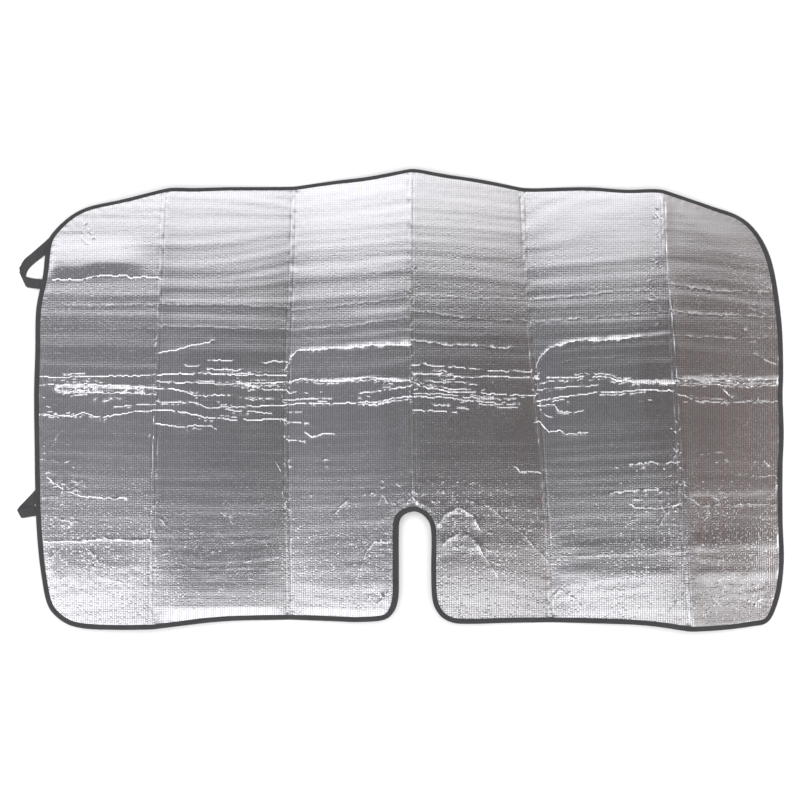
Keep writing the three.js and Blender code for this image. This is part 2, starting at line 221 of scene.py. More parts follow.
# kind, strength, points; the kinds are below
WRINKLES = [
    # first panel
    ("line", 1.1, [(50, 280), (80, 280), (95, 276), (127, 275.5), (132, 279), (142, 277.5), (158, 279)]),
    ("faint", 1.0, [(55, 306), (110, 306), (160, 305)]), ("faint", 1.1, [(42, 331), (100, 330), (156, 329)]),
    ("faint", 0.7, [(40, 355), (90, 354), (140, 352)]),
    ("line", 1.0, [(39, 377.5), (80, 377), (120, 376), (156, 375)]), ("line", 0.9, [(39, 385), (57, 384)]),
    ("band", 1.0, [(52, 389), (80, 388.5), (105, 389.5), (130, 390), (158, 390)], 8.5),
    ("line", 0.9, [(57, 385), (90, 384), (125, 386), (155, 389)]), ("line", 0.7, [(60, 393), (95, 392), (150, 394)]),
    ("line", 0.4, [(100, 402), (115, 398), (130, 401)]), ("line", 0.7, [(112, 407), (140, 405), (156, 404)]),
    ("line", 1.1, [(39, 414.5), (74, 416), (84, 413), (100, 417.5), (120, 415), (140, 411), (157, 410)]),
    ("line", 0.6, [(52, 447), (57, 436), (64, 427)]), ("line", 0.4, [(40, 446), (48, 447)]), ("line", 0.4, [(42, 459), (52, 460), (60, 463)]),
    ("line", 0.7, [(45, 477), (65, 491)]), ("line", 0.7, [(65, 491), (80, 481)]), ("line", 0.9, [(65, 491), (87, 498), (130, 497)]),
    ("line", 0.5, [(41, 497), (57, 497)]), ("line", 0.5, [(56, 519.5), (70, 522.5), (82, 520.5)]),
    ("line", 0.8, [(45, 541), (80, 541), (105, 539), (145, 540)]), ("band", 0.45, [(45, 541), (80, 541), (105, 539), (145, 540)], 4.2),
    ("line", 0.5, [(49, 560), (62, 547)]), ("line", 0.5, [(87, 547), (102, 564)]),
    # second panel
    ("faint", 1.1, [(162, 305), (225, 306), (290, 307)]), ("faint", 1.2, [(162, 327), (225, 328), (290, 329)]),
    ("line", 1.0, [(156, 354.5), (180, 349), (197, 345), (217, 340)]), ("line", 0.8, [(206, 360.5), (221, 360), (236, 361.5)]),
    ("line", 0.8, [(258, 363), (270, 362), (283, 362)]), ("line", 0.6, [(182, 366), (203, 366.5)]), ("line", 0.7, [(204, 369), (243, 370)]),
    ("line", 1.1, [(157, 374.5), (200, 373.5), (240, 374.5), (283, 375)]), ("line", 0.9, [(162, 381), (200, 382.5), (235, 384), (283, 382)]),
    ("band", 0.8, [(228, 385), (258, 384.5), (287, 383)], 4.2), ("line", 0.6, [(246, 391), (262, 389), (284, 390)]),
    ("line", 1.1, [(157, 389), (172, 388.5), (184, 391), (196, 395.5), (236, 396)]), ("line", 0.6, [(236, 398), (262, 398.5), (284, 400)]),
    ("line", 1.0, [(157, 401), (192, 403), (210, 408), (250, 406.5), (285, 405)]), ("line", 0.7, [(222, 409), (250, 412), (275, 414)]),
    ("line", 1.1, [(157, 409.5), (182, 411), (205, 417.5), (235, 420), (275, 419.5), (286, 419)]),
    ("line", 1.0, [(155, 424), (187, 427.5), (192, 425.5), (209, 426), (220, 429)]),
    ("line", 0.6, [(274, 459), (280, 470), (285, 480), (282, 492), (287, 510)]), ("line", 0.6, [(160, 517), (167, 526)]),
    ("faint", 0.8, [(160, 512), (272, 513)]), ("faint", 1.0, [(155, 540), (272, 540)]), ("faint", 0.9, [(160, 568), (270, 569)]),
    ("line", 0.3, [(215, 525), (225, 540)]),
    # third panel
    ("faint", 1.1, [(292, 310), (350, 305), (405, 297)]), ("faint", 1.1, [(292, 330), (350, 326), (407, 317)]),
    ("line", 0.9, [(283, 375), (286, 367), (291, 357), (297, 351), (316, 350), (345, 348), (375, 346), (408, 345)]),
    ("soft", 0.9, [(285, 370), (291, 358), (300, 352), (345, 349), (408, 344)]),
    ("line", 1.1, [(285, 384), (300, 379), (330, 381), (352, 380), (370, 377.5), (390, 379), (411, 383)]),
    ("band", 0.9, [(318, 381), (352, 380), (375, 378), (409, 382)], 4.2), ("line", 0.8, [(283, 388), (290, 394), (300, 391)]),
    ("line", 0.9, [(357, 394), (385, 390), (411, 386)]), ("line", 0.7, [(290, 400), (310, 399), (335, 399)]),
    ("line", 1.1, [(286, 405), (310, 403), (330, 403), (370, 402), (395, 398), (411, 396)]),
    ("line", 0.7, [(288, 412), (306, 412)]), ("line", 0.9, [(289, 423.5), (311, 422.5)]),
    ("line", 1.0, [(303, 431), (312, 436.5), (322, 434), (337, 432.5)]), ("line", 0.9, [(288, 440), (308, 442)]),
    ("line", 0.6, [(334, 515), (340, 506), (350, 499)]), ("line", 0.5, [(377, 507), (382, 494), (390, 505)]),
    ("line", 0.9, [(352, 587), (360, 570), (367, 550), (375, 542), (392, 541)]), ("line", 0.5, [(367, 550), (380, 554), (392, 555.5)]),
    ("line", 0.8, [(405, 505), (412, 496), (420, 505)]), ("line", 0.5, [(375, 607), (390, 590)]),
    ("band", 1.0, [(394, 507), (402, 503.5), (413, 501.5), (425, 503.5), (434.5, 510.5), (440, 520), (442, 534)], 3.2),
    # fourth panel
    ("faint", 1.1, [(415, 295), (470, 298), (527, 299)]), ("faint", 1.3, [(415, 311), (470, 318), (527, 322)]),
    ("line", 0.5, [(415, 341), (452, 345), (517, 348)]), ("line", 0.9, [(414, 366), (424, 364), (450, 367), (482, 370), (527, 372.5)]),
    ("line", 1.1, [(417, 375), (440, 374), (462, 377.5), (500, 377), (532, 377.5)]), ("line", 0.9, [(422, 381), (450, 382), (480, 384)]),
    ("line", 1.1, [(414, 382), (425, 388), (455, 392), (480, 393), (505, 394.5), (533, 395.5)]), ("band", 0.7, [(414, 384), (450, 390)], 3.5),
    ("line", 1.0, [(414, 397), (440, 397), (462, 400), (487, 403), (525, 404.5)]), ("line", 0.8, [(460, 396), (480, 399), (520, 400)]),
    ("line", 0.7, [(427, 405), (452, 405)]), ("line", 0.7, [(454, 408), (472, 408)]), ("line", 0.9, [(415, 409), (437, 411), (460, 412)]),
    ("line", 0.8, [(512, 463), (520, 471), (544, 472)]),
    ("line", 0.6, [(437, 527), (445, 515), (460, 507.5), (472, 515), (482, 532)]), ("soft", 0.9, [(437, 527), (445, 515), (460, 507.5), (472, 515), (482, 532)]),
    ("line", 0.6, [(440, 548), (447, 539), (462, 534), (475, 540), (485, 557), (500, 579)]),
    ("soft", 0.9, [(440, 548), (447, 539), (462, 534), (475, 540), (485, 557)]), ("line", 0.35, [(487, 505), (520, 532), (550, 562)]),
    # fifth panel
    ("faint", 1.2, [(532, 300), (590, 294), (650, 290)]), ("faint", 1.3, [(535, 322), (600, 317), (660, 312)]),
    ("line", 0.8, [(535, 371), (540, 357.5), (550, 347.5), (575, 341), (600, 340), (640, 337)]),
    ("soft", 0.9, [(537, 368), (550, 349), (575, 342), (630, 338), (672, 334)]), ("faint", 0.9, [(540, 370), (575, 360), (625, 357)]),
    ("line", 1.1, [(535, 377.5), (575, 377.5), (600, 376), (617, 381), (645, 382), (671, 383)]),
    ("band", 1.0, [(606, 380.5), (640, 382), (675, 383)], 5.5), ("line", 0.7, [(538, 385), (550, 381), (575, 381)]),
    ("line", 0.7, [(540, 391), (560, 387), (600, 385.5)]), ("line", 1.1, [(535, 402.5), (560, 397.5), (595, 392.5), (640, 390), (671, 390.5)]),
    ("line", 0.9, [(540, 405), (555, 405.5), (560, 410.5), (572, 412.5), (586, 410)]), ("line", 0.8, [(540, 409), (547, 416), (555, 417)]),
    ("line", 1.0, [(531, 423), (540, 422.5), (550, 432.5), (560, 430), (567, 434), (590, 432.5)]),
    ("line", 0.8, [(627, 464), (650, 463), (672, 462)]), ("line", 0.8, [(607, 494), (625, 491), (665, 490)]),
    ("line", 0.9, [(627, 500), (635, 507.5), (667, 507)]), ("line", 0.9, [(655, 532), (665, 515), (672, 506), (682, 502)]),
    ("faint", 1.3, [(552, 557), (620, 555), (680, 552)]), ("line", 0.4, [(550, 600), (560, 590), (575, 600), (585, 612)]),
    ("line", 0.5, [(665, 615), (685, 592)]),
    # sixth panel
    ("line", 0.45, [(675, 284), (712, 291), (775, 292)]), ("line", 0.45, [(672, 310), (700, 315), (775, 317)]), ("line", 0.5, [(747, 308), (770, 316)]),
    ("line", 0.35, [(677, 336), (725, 339), (775, 337)]), ("line", 0.7, [(752, 353), (777, 367)]),
    ("band", 0.85, [(672, 381.5), (710, 380), (745, 382), (782, 381)], 9.5), ("line", 0.6, [(676, 378), (700, 381), (740, 379), (779, 380)]),
    ("line", 0.6, [(676, 386), (710, 384), (745, 387), (779, 386)]), ("line", 0.7, [(677, 394), (700, 402), (725, 402.5), (752, 401), (778, 402.5)]),
    ("line", 0.7, [(721, 389), (732, 397), (740, 401)]), ("line", 0.5, [(697, 455), (725, 451)]), ("line", 0.6, [(762, 459), (777, 472)]),
    ("line", 0.5, [(746, 476), (775, 476)]), ("line", 0.6, [(680, 491), (700, 505), (717, 505.5), (745, 504), (776, 504)]),
    ("line", 0.4, [(737, 595), (750, 602), (775, 598)]),
]
# height and half width in mm; a band may state its own half width
KIND = {"line": (0.25, 0.92), "faint": (0.06, 1.3), "soft": (0.42, 4.4), "band": (0.60, 6.0)}
# areas with short stray creases: centre, half axes, how many, mostly along which way
STRAY = [
    (105, 389, 52, 4.8, 46, 0.15), (255, 385, 28, 3.5, 30, 0.15), (352, 380, 52, 3, 44, 0.15), (642, 382, 31, 3, 44, 0.15),
    (728, 381, 52, 6.5, 104, 0.3), (728, 402, 50, 3, 26, 0.25), (430, 388, 20, 3, 16, 0.15), (66, 415, 26, 2.5, 18, 0.2),
    (95, 400, 58, 20, 12, 0.1), (220, 392, 62, 18, 18, 0.1), (350, 392, 60, 14, 8, 0.1), (470, 390, 60, 18, 20, 0.1),
    (600, 392, 64, 14, 10, 0.1), (540, 395, 8, 24, 14, 0.6), (286, 385, 6, 26, 14, 0.8), (412, 388, 5, 18, 12, 0.8),
    (60, 475, 22, 34, 14, 0.7), (66, 515, 28, 30, 14, 0.8),
    (284, 470, 6, 60, 16, 1.2), (330, 480, 40, 26, 4, 0.3), (88, 234, 7, 12, 14, 0.9), (385, 500, 22, 24, 12, 1.0), (412, 498, 18, 10, 10, 1.0),
    (455, 500, 36, 26, 24, 0.8), (470, 560, 44, 34, 22, 0.7), (370, 575, 26, 34, 12, 0.9), (640, 490, 36, 34, 26, 0.3),
    (674, 490, 7, 80, 40, 1.2), (730, 480, 50, 28, 16, 0.3), (655, 270, 6, 70, 30, 1.2), (155, 420, 5, 120, 18, 1.3),
    (90, 575, 48, 22, 14, 0.8), (220, 545, 60, 40, 16, 0.3), (745, 592, 36, 18, 34, 0.8), (600, 600, 60, 10, 8, 0.8),
    (755, 300, 20, 50, 10, 0.3), (413, 300, 3, 120, 10, 1.4),
]
# crumpled patches: centre, half axes (all on the same grid), strength mm, grain mm
CRUMPLE = [
    (105, 389, 56, 8, 0.20, 8.0), (255, 387, 40, 8, 0.14, 8.0), (355, 380, 56, 7, 0.14, 8.0), (440, 389, 30, 8, 0.12, 8.0),
    (640, 382, 36, 7, 0.18, 8.0), (728, 382, 58, 9, 0.20, 8.0), (66, 490, 24, 22, 0.16, 9.0), (457, 530, 30, 46, 0.13, 9.0),
    (372, 570, 26, 36, 0.10, 9.0), (652, 505, 30, 26, 0.10, 9.0), (728, 500, 56, 10, 0.14, 8.0), (90, 575, 60, 24, 0.14, 9.0),
    (220, 560, 60, 40, 0.07, 9.0), (745, 592, 40, 24, 0.28, 9.0), (600, 595, 60, 16, 0.09, 9.0), (412, 498, 20, 10, 0.14, 8.0),
]


def run_on(p):
    """A wrinkle that stops just short of a crease or of the tape runs on into it. Returns the path and both fades."""
    fades = [8.0, 8.0]
    p = list(p)
    for e, (i, j) in enumerate(((0, 1), (-1, -2))):
        x, y = p[i]
        way = 1 if x > p[j][0] else -1
        if abs(x - p[j][0]) < 1.5 * abs(y - p[j][1]):
            continue
        goals = [float(crease_x(k, y)) for k in range(5)] + [-631.0 if way < 0 else 662.0]
        gap = [(g - x) * way for g in goals]
        near = [g for g in gap if -4 < g < 16]
        if near:
            p[i] = np.array([x + way * (min(near) + 1.0), y])
            fades[e] = 2.5
    return np.array(p), fades


def wrinkle_paths():
    """Every wrinkle as (path, height along it, half width). Long ones step along the embossed rows."""
    rng = np.random.RandomState(20)
    out = []
    for n, (kind, strength, pts, *own) in enumerate(WRINKLES):
        H, w = KIND[kind]
        if own:
            H, w = 0.1 * own[0], own[0]
        p, fades = run_on(px(pts))
        d = np.hypot(*np.diff(p, axis=0).T)
        s = np.r_[0, np.cumsum(d)]
        step = 2.2 if w < 3 else 4.0
        t = np.linspace(0, s[-1], max(3, int(s[-1] / step) + 1))
        x, y = np.interp(t, s, p[:, 0]), np.interp(t, s, p[:, 1])
        if w < 3:
            y = y + 1.5 * line_noise(t / 23 + 7.7 * n, 101) + 1.3 * line_noise(t / 7 + 3.1 * n, 102)
            x = x + 0.6 * line_noise(t / 5 + 1.3 * n, 105)
            if abs(p[-1, 0] - p[0, 0]) > 1.6 * abs(p[-1, 1] - p[0, 1]):
                y = np.round(y / 1.95) * 1.95 * 0.9 + y * 0.1
        ends = smooth(0, fades[0], t) * smooth(0, fades[1], s[-1] - t)
        h = H * strength * ends * np.clip(0.80 + 0.50 * line_noise(t / 11 + 5.3 * n, 103) + 0.60 * line_noise(t / 4.1 + n, 104), 0.10, 1.6)
        if own:
            h = H * strength * ends * np.clip(0.95 + 0.35 * line_noise(t / 21 + 5.3 * n, 103), 0.3, 1.3)
        out.append((np.c_[x, y], h, w * (1.0 if w > 3 else 0.85 + 0.35 * rng.rand())))
        if kind == "line" and s[-1] > 60 and abs(y.mean()) < 50:
            # a long crease drags shorter ones beside it
            for _ in range(int(s[-1] / 120) + 1):
                i0 = rng.randint(0, max(1, int(len(t) * 0.6)))
                i1 = min(len(t), i0 + rng.randint(6, max(7, int(len(t) * 0.5))))
                off = rng.choice([-1, 1]) * rng.uniform(2.9, 5.5) + 0.7 * line_noise(t[i0:i1] / 7 + n, 106)
                q = t[i0:i1] - t[i0]
                side = H * rng.uniform(0.35, 0.75) * smooth(0, 5, q) * smooth(0, 5, q[-1] - q) * np.clip(0.8 + 0.6 * line_noise(q / 4 + n, 107), 0.1, 1.4)
                out.append((np.c_[x[i0:i1], y[i0:i1] + off], side, 0.8 + 0.2 * rng.rand()))
    for cx, cy, ax, ay, count, way in STRAY:
        for _ in range(count):
            a, r = rng.uniform(0, 2 * np.pi), np.sqrt(rng.uniform())
            c = px([(cx + ax * r * np.cos(a), cy + ay * r * np.sin(a))])[0]
            ang = rng.normal(0, 0.25) + way * rng.choice([-1, 1]) * rng.uniform(0.4, 1.0)
            L = rng.uniform(4, 12)
            t = np.linspace(-L / 2, L / 2, max(4, int(L / 2.4) + 1))
            bend = rng.uniform(-0.02, 0.02)
            x = c[0] + np.cos(ang) * t - np.sin(ang) * bend * t * t
            y = c[1] + np.sin(ang) * t + np.cos(ang) * bend * t * t
            h = rng.uniform(0.03, 0.17) * (1 - (2 * t / L) ** 2)
            out.append((np.c_[x, y], np.maximum(h, 0), rng.uniform(0.65, 0.95)))
    return out


PATHS = wrinkle_paths()


def wrinkle_points():
    """Extra mesh points that follow the narrow wrinkles, so that each one is crisp."""
    pts, core = [], []
    for p, h, w in PATHS:
        t = np.gradient(p, axis=0)
        t /= np.maximum(np.hypot(*t.T), 1e-9)[:, None]
        nrm = np.c_[-t[:, 1], t[:, 0]]
        if w < 3:
            for q in (-1.0, 0, 1.0):
                pts.append(p + nrm * q * w)
            core.append(p)
    return np.concatenate(pts), np.concatenate(core)


def bows(x, y):
    """Each panel's slack, which lifts face and back together: one bow above the middle, one towards the lower edge."""
    panel = sum((x > crease_x(k, y)).astype(int) for k in range(5))
    away = np.min([np.abs(x - crease_x(k, y)) for k in range(5)], axis=0)
    upper = np.array([0.2, 1.7, 2.0, 0.45, 2.0, 0.0])[panel]
    lower = np.array([0.9, -0.2, 0.2, 0.6, 1.0, 1.8])[panel]
    at = np.array([-300, -300, -300, -300, -305, -285])[panel]
    rise = np.array([0.0, 1.7, 0.7, 0.0, 0.0, 0.0])[panel]
    h = upper * np.exp(-(((y - 60) / 190) ** 2)) + lower * np.exp(-(((y - at) / 50) ** 2))
    h = h + rise * (1 - smooth(-345, -215, y)) * smooth(-394, -358, y)
    h = h + 0.8 * (panel == 5) * np.exp(-(((y - 340) / 130) ** 2))
    # the slack fold high on the first panel
    edge = np.interp(x, [-620, -556, -530, -474, -420], [208.5, 208.5, 215.5, 216.3, 211])
    fold = np.clip((y - edge) / 22, 0, 1) * (1 - smooth(234, 290, y)) * smooth(-640, -600, x) * (1 - smooth(-500, -418, x))
    # the raised creases are puffed where the film is slack
    puff = 0
    for k, top, foot in ((0, 0.15, 0.0), (2, 0.45, 0.0), (4, 0.95, 0.5)):
        d = (x - crease_x(k, y)) / 9
        puff = puff + (top * smooth(60, 190, y) * (1 - 0.6 * smooth(300, 380, y)) + foot * (1 - smooth(-290, -210, y))) * np.exp(-d * d)
    return h * smooth(0, 60, away) + 1.15 * fold + puff


def relief(x, y):
    """Small-scale height of the film above the faceted sheet, in mm."""
    h = np.zeros(x.shape)
    panel = sum((x > crease_x(k, y)).astype(int) for k in range(5))
    # long soft ripples across each panel, each panel with its own slant and phase
    for k in range(6):
        m = panel == k
        if not m.any():
            continue
        xs, ys = x[m], y[m]
        c = {0: -530, 1: -305, 2: -90, 3: 125, 4: 355, 5: 575}[k]
        slant = [0.02, 0.01, -0.10, 0.06, -0.09, 0.05][k]
        bend = [0.4, -0.3, -1.2, 0.5, 1.4, -0.8][k] * 1e-4
        phase = [0.4, 2.1, 1.2, 3.6, 0.2, 2.6][k]
        yy = ys + slant * (xs - c) + bend * (xs - c) ** 2 + 2.5 * value_noise(xs / 130, ys / 60, 11 + k)
        lam = 43 + 5 * value_noise(xs / 400, ys / 120, 31 + k)
        strength = 0.100 * (0.75 + 0.25 * smooth(-150, 80, ys)) * (0.75 + 0.45 * value_noise(xs / 200, ys / 40, 51 + k))
        strength = strength * (1 - 0.7 * smooth(210, 285, ys)) * (0.55 + 0.45 * smooth(-60, 60, ys))
        h[m] += strength * np.sin(2 * np.pi * yy / lam + phase)
        h[m] += 0.024 * (1 + value_noise(xs / 120, ys / 30, 61 + k)) * np.sin(2 * np.pi * yy / (lam * 0.41) + 1.7 * phase)
    h += 0.03 * value_noise(x / 150, y / 17, 71) + 0.012 * value_noise(x / 60, y / 9, 72)
    # shallow steps across the foot of the last three panels
    for k, yc, rise, run, back in ((5, -163, 0.28, 5, 34), (5, -258, 0.62, 9, 28), (5, -309, 0.42, 9, 14), (4, -266, 0.26, 10, 24), (4, -309, 0.18, 9, 14), (3, -262, 0.16, 10, 24)):
        at = yc + 2.0 * value_noise(x / 45, x * 0, 401 + 10 * (5 - k))
        step = smooth(at - run, at + run, y) * (1 - smooth(at + run, at + run + back, y))
        side = smooth(8, 30, x - crease_x(k - 1, y)) * (1 - smooth(8, 30, x - crease_x(k, y) + 38) if k < 5 else 1)
        h += rise * step * (1 + 0.3 * value_noise(x / 30, y / 40, 402)) * side
    # wrinkles
    for p, hh, w in PATHS:
        lo, hi = p.min(0) - 2.2 * w, p.max(0) + 2.2 * w
        m = np.nonzero((x > lo[0]) & (x < hi[0]) & (y > lo[1]) & (y < hi[1]))[0]
        if not len(m):
            continue
        xs, ys = x[m], y[m]
        best, high = np.full(xs.shape, 1e9), np.zeros(xs.shape)
        for a, d, h0, h1 in zip(p[:-1], np.diff(p, axis=0), hh[:-1], hh[1:]):
            near_seg = np.nonzero((np.abs(xs - a[0] - d[0] / 2) < 3 + 2 * w) & (np.abs(ys - a[1] - d[1] / 2) < 3 + 2 * w))[0]
            if not len(near_seg):
                continue
            X, Y = xs[near_seg], ys[near_seg]
            t = np.clip(((X - a[0]) * d[0] + (Y - a[1]) * d[1]) / max(d @ d, 1e-9), 0, 1)
            dist = np.hypot(X - a[0] - t * d[0], Y - a[1] - t * d[1])
            better = dist < best[near_seg]
            best[near_seg] = np.where(better, dist, best[near_seg])
            high[near_seg] = np.where(better, h0 + (h1 - h0) * t, high[near_seg])
        u = best / w
        if w < 3:
            prof = np.clip(1 - u, 0, 1)
        elif w != KIND["soft"][1]:
            prof = np.sqrt((1 - np.clip(u, 0, 1)) ** 2 + 0.01) - 0.1
        else:
            prof = np.exp(-(u * u) * 1.4)
        h[m] += high * prof
    for n, (cx, cy, ax, ay, s, g) in enumerate(CRUMPLE):
        c = px([(cx, cy)])[0]
        r = np.hypot((x - c[0]) / (ax * 1.738), (y - c[1]) / (ay * 1.738))
        m = r < 1.3
        xs, ys = x[m], y[m]
        wx = xs + 4 * value_noise(xs / 12, ys / 12, 200 + n)
        wy = ys + 4 * value_noise(xs / 12, ys / 12, 230 + n)
        v = 1 - np.abs(value_noise(wx / (g * 1.7), wy / g, 260 + n)) * 1.6
        h[m] += s * (1 - smooth(0.55, 1.3, r[m])) * (0.9 * v - 0.4)
    # towards its foot the last crease has a pressed line and a lip beside it
    d = x - crease_x(4, y)
    lip = np.exp(-(((d - 7) / np.where(d < 7, 4.0, 14.0)) ** 2))
    line = np.exp(-(((d + 2) / 2.2) ** 2))
    h += (1 - smooth(-150, 20, y)) * (1 + 0.3 * value_noise(y / 18, x * 0, 411)) * (0.36 * lip - 0.24 * line)
    # two pressed lines beside each crease
    for k in range(5):
        for s in (-1, 1):
            d = (x - crease_x(k, y) - s * BAND) / 1.3
            h -= 0.30 * np.exp(-d * d) * (1 + 0.35 * value_noise(y / 22, x * 0 + k, 311 + s))
        d = np.abs(x - crease_x(k, y))
        h += 0.10 * value_noise(x / 5, y / 9, 330 + k) * np.exp(-((d / 8) ** 2))
    return h


def edge_data(pts):
    """Nearest outline station and the distance inside it, for points in mm."""
    tree = kdtree.KDTree(len(RIM))
    for i, p in enumerate(RIM):
        tree.insert((p[0], p[1], 0), i)
    tree.balance()
    near = np.array([tree.find((a, b, 0))[1] for a, b in pts])
    v = pts - RIM[near]
    d = (v * RIM_N[near]).sum(1)
    s = RIM_S[near] + (v * RIM_T[near]).sum(1)
    return near, d, s


def half_thickness(s, d):
    w = np.interp(np.mod(s, RIM_LEN), np.r_[RIM_S, RIM_LEN], np.r_[TAPE_WF, TAPE_WF[:1]])
    return SEAM_T / 2 + (SHEET_T - SEAM_T) / 2 * np.interp(d - w, [-2.0, -0.1, 0.4], [0.0, 0.42, 1.0]), w


def pucker(s, d, w):
    """Gathers that run in from the seam."""
    wave = np.sin(2 * np.pi * s / 15 + 5 * line_noise(s / 31, 401)) * (0.5 + 0.5 * line_noise(s / 47, 402))
    wave = wave + 0.5 * np.sin(2 * np.pi * s / 8.3 + 4 * line_noise(s / 19, 403))
    reach = np.exp(-np.maximum(d - w, 0) / (8 + 5 * line_noise(s / 60, 404)))
    return 0.12 * wave * reach * smooth(w + 0.3, w + 3.5, d)


# --------------------------------------------------------------------------- the sheet
def foil_sheet():
    start = TAPE_T + GAP + 0.1
    lf = TAPE_WF
    lb = leg_face(RIM[:, 0], RIM[:, 1])
    rings = [inset(np.full(len(RIM), start)), inset(lf - 2.0), inset(lf - 0.1), inset(lf + 0.4), inset(lf + 3.4), inset(lf + 6.8)]
    keep_in = inset(lf + 10.0)

    def inside(P, poly):
        x, y = P[:, 0], P[:, 1]
        c = np.zeros(len(P), bool)
        a, b = poly, np.roll(poly, -1, 0)
        for (x0, y0), (x1, y1) in zip(a, b):
            if y0 == y1:
                continue
            hit = ((y0 > y) != (y1 > y)) & (x < (x1 - x0) * (y - y0) / (y1 - y0) + x0)
            c ^= hit
        return c

    def lattice(dx, rows, fine):
        cols = []
        for yv in rows:
            xs = []
            c = [crease_x(k, yv) for k in range(5)]
            bounds = [LEFT_X + 3] + c + [RIGHT_X - 3]
            for i in range(6):
                a, b = bounds[i], bounds[i + 1]
                a2 = a + (fine[-1] + dx * 0.7 if i else 0)
                b2 = b - (fine[-1] + dx * 0.7 if i < 5 else 0)
                # the count must not change from row to row
                n = int(round([217, 226, 217, 216, 240, 182][i] / dx))
                xs.append(np.linspace(a2, b2, n))
                if i < 5:
                    xs.append(b + np.array([-f for f in fine[::-1]] + [0.0] + list(fine)))
            cols.append(np.concatenate(xs))
        X = np.array(cols)
        Y = np.repeat(np.asarray(rows, float)[:, None], X.shape[1], 1)
        return np.c_[X.ravel(), Y.ravel()]

    P = lattice(8.4, np.arange(-402, 402, 3.9), [1.2, 2.6, 4.0, 5.4, 7.2])
    extra, core = wrinkle_points()
    tree = kdtree.KDTree(len(core))
    for i, c in enumerate(core):
        tree.insert((c[0], c[1], 0), i)
    tree.balance()
    P = P[np.array([tree.find((a, b, 0))[2] > 1.9 for a, b in P])]
    # wrinkles that cross leave their points apart
    grid, keep = {}, []
    for i, (a, b) in enumerate(extra):
        c = (int(a // 0.7), int(b // 0.7))
        if any((extra[j] - (a, b)) @ (extra[j] - (a, b)) < 0.3 for di in (-1, 0, 1) for dj in (-1, 0, 1) for j in grid.get((c[0] + di, c[1] + dj), ())):
            continue
        grid.setdefault(c, []).append(i)
        keep.append(i)
    extra = extra[keep]
    P = np.concatenate([P[inside(P, keep_in)], extra[inside(extra, inset(lf + 1.6))]])
    ring_pts = np.concatenate(rings)
    n = len(RIM)

    def triangulate(points, ring_count):
        verts = [Vector((float(a), float(b))) for a, b in points]
        loops = [[r * n + i for i in range(n)] for r in range(ring_count)]
        edges = [(lp[i], lp[(i + 1) % n]) for lp in loops for i in range(n)]
        out = geometry.delaunay_2d_cdt(verts, edges, [], 0, 1e-4, True)
        ov, of, orig = np.array([tuple(v) for v in out[0]]), np.array(out[2]), out[3]
        return ov, of[inside(ov[of].mean(1), rings[0])], orig

    top_pts = np.concatenate([ring_pts, P])
    V, F, orig = triangulate(top_pts, 6)
    # underside: coarser, on the same outer ring
    Pb = lattice(12.0, np.arange(-400, 402, 11.0), [4.0])
    Pb = Pb[inside(Pb, keep_in)]
    back_rings = [rings[0], inset(TAPE_CUT - lb + 1.0), inset(TAPE_CUT - lb + 6.0)]
    keep_b = inset(TAPE_CUT - lb + 10.0)
    Pb = Pb[inside(Pb, keep_b)]
    VB, FB, origb = triangulate(np.concatenate(back_rings + [Pb]), 3)

    def ring_index(orig_list):
        at = {}
        for i, src in enumerate(orig_list):
            for q in src:
                if q < n:
                    at[q] = i
        return [at[i] for i in range(n)]

    rt, rb = ring_index(orig), ring_index(origb)

    near, d, s = edge_data(V)
    th, w = half_thickness(s, d)
    body = smooth(w + 0.3, w + 2.5, d)
    zt = surf(V[:, 0], V[:, 1]) + th + relief(V[:, 0], V[:, 1]) * body + bows(V[:, 0], V[:, 1]) * smooth(w, w + 12 + 40 * smooth(440, 560, V[:, 0]), d) + pucker(s, d, w)

    nb, db, sb = edge_data(VB)
    wb = TAPE_CUT - leg_face(VB[:, 0], VB[:, 1])
    thb = SEAM_T / 2 + (SHEET_T - SEAM_T) / 2 * smooth(wb + 0.8, wb + 6, db)
    soft = 0.10 * value_noise(VB[:, 0] / 40, VB[:, 1] / 30, 501) * smooth(wb + 4, wb + 12, db)
    zb = np.maximum(surf(VB[:, 0], VB[:, 1]) - thb + soft + bows(VB[:, 0], VB[:, 1]) * smooth(wb, wb + 12, db), 0.05)

    verts = np.concatenate([np.c_[V, zt], np.c_[VB, zb]])
    off = len(V)
    faces = []

    def oriented(Vp, tri, up):
        a, b, c = Vp[tri[0]], Vp[tri[1]], Vp[tri[2]]
        cr = (b[0] - a[0]) * (c[1] - a[1]) - (b[1] - a[1]) * (c[0] - a[0])
        t = tuple(tri)
        if (cr > 0) != up:
            t = (t[0], t[2], t[1])
        return t

    faces += [oriented(V, t, True) for t in F]
    faces += [tuple(i + off for i in oriented(VB, t, False)) for t in FB]
    for i in range(n):
        j = (i + 1) % n
        a, b, c, e = rt[i], rt[j], rb[j] + off, rb[i] + off
        faces.append((a, b, c, e))
    ob = mesh_object("sunshade_foil", verts, faces, 8)
    return ob


# --------------------------------------------------------------------------- edge tape
def rim_wobble(s, seed, period):
    k = round(RIM_LEN / period)
    t = np.asarray(s) / RIM_LEN * k
    # closes on itself
    i = np.floor(t).astype(int)
    f = t - i
    rng = np.random.RandomState(seed).uniform(-1, 1, k)
    a, b = rng[i % k], rng[(i + 1) % k]
    u = f * f * (3 - 2 * f)
    return a * (1 - u) + b * u


TAPE_WF = leg_face(RIM[:, 0], RIM[:, 1]) + 0.30 * rim_wobble(RIM_S, 5, 38) + 0.12 * rim_wobble(RIM_S, 6, 11)
SEAM_IN = 2.1


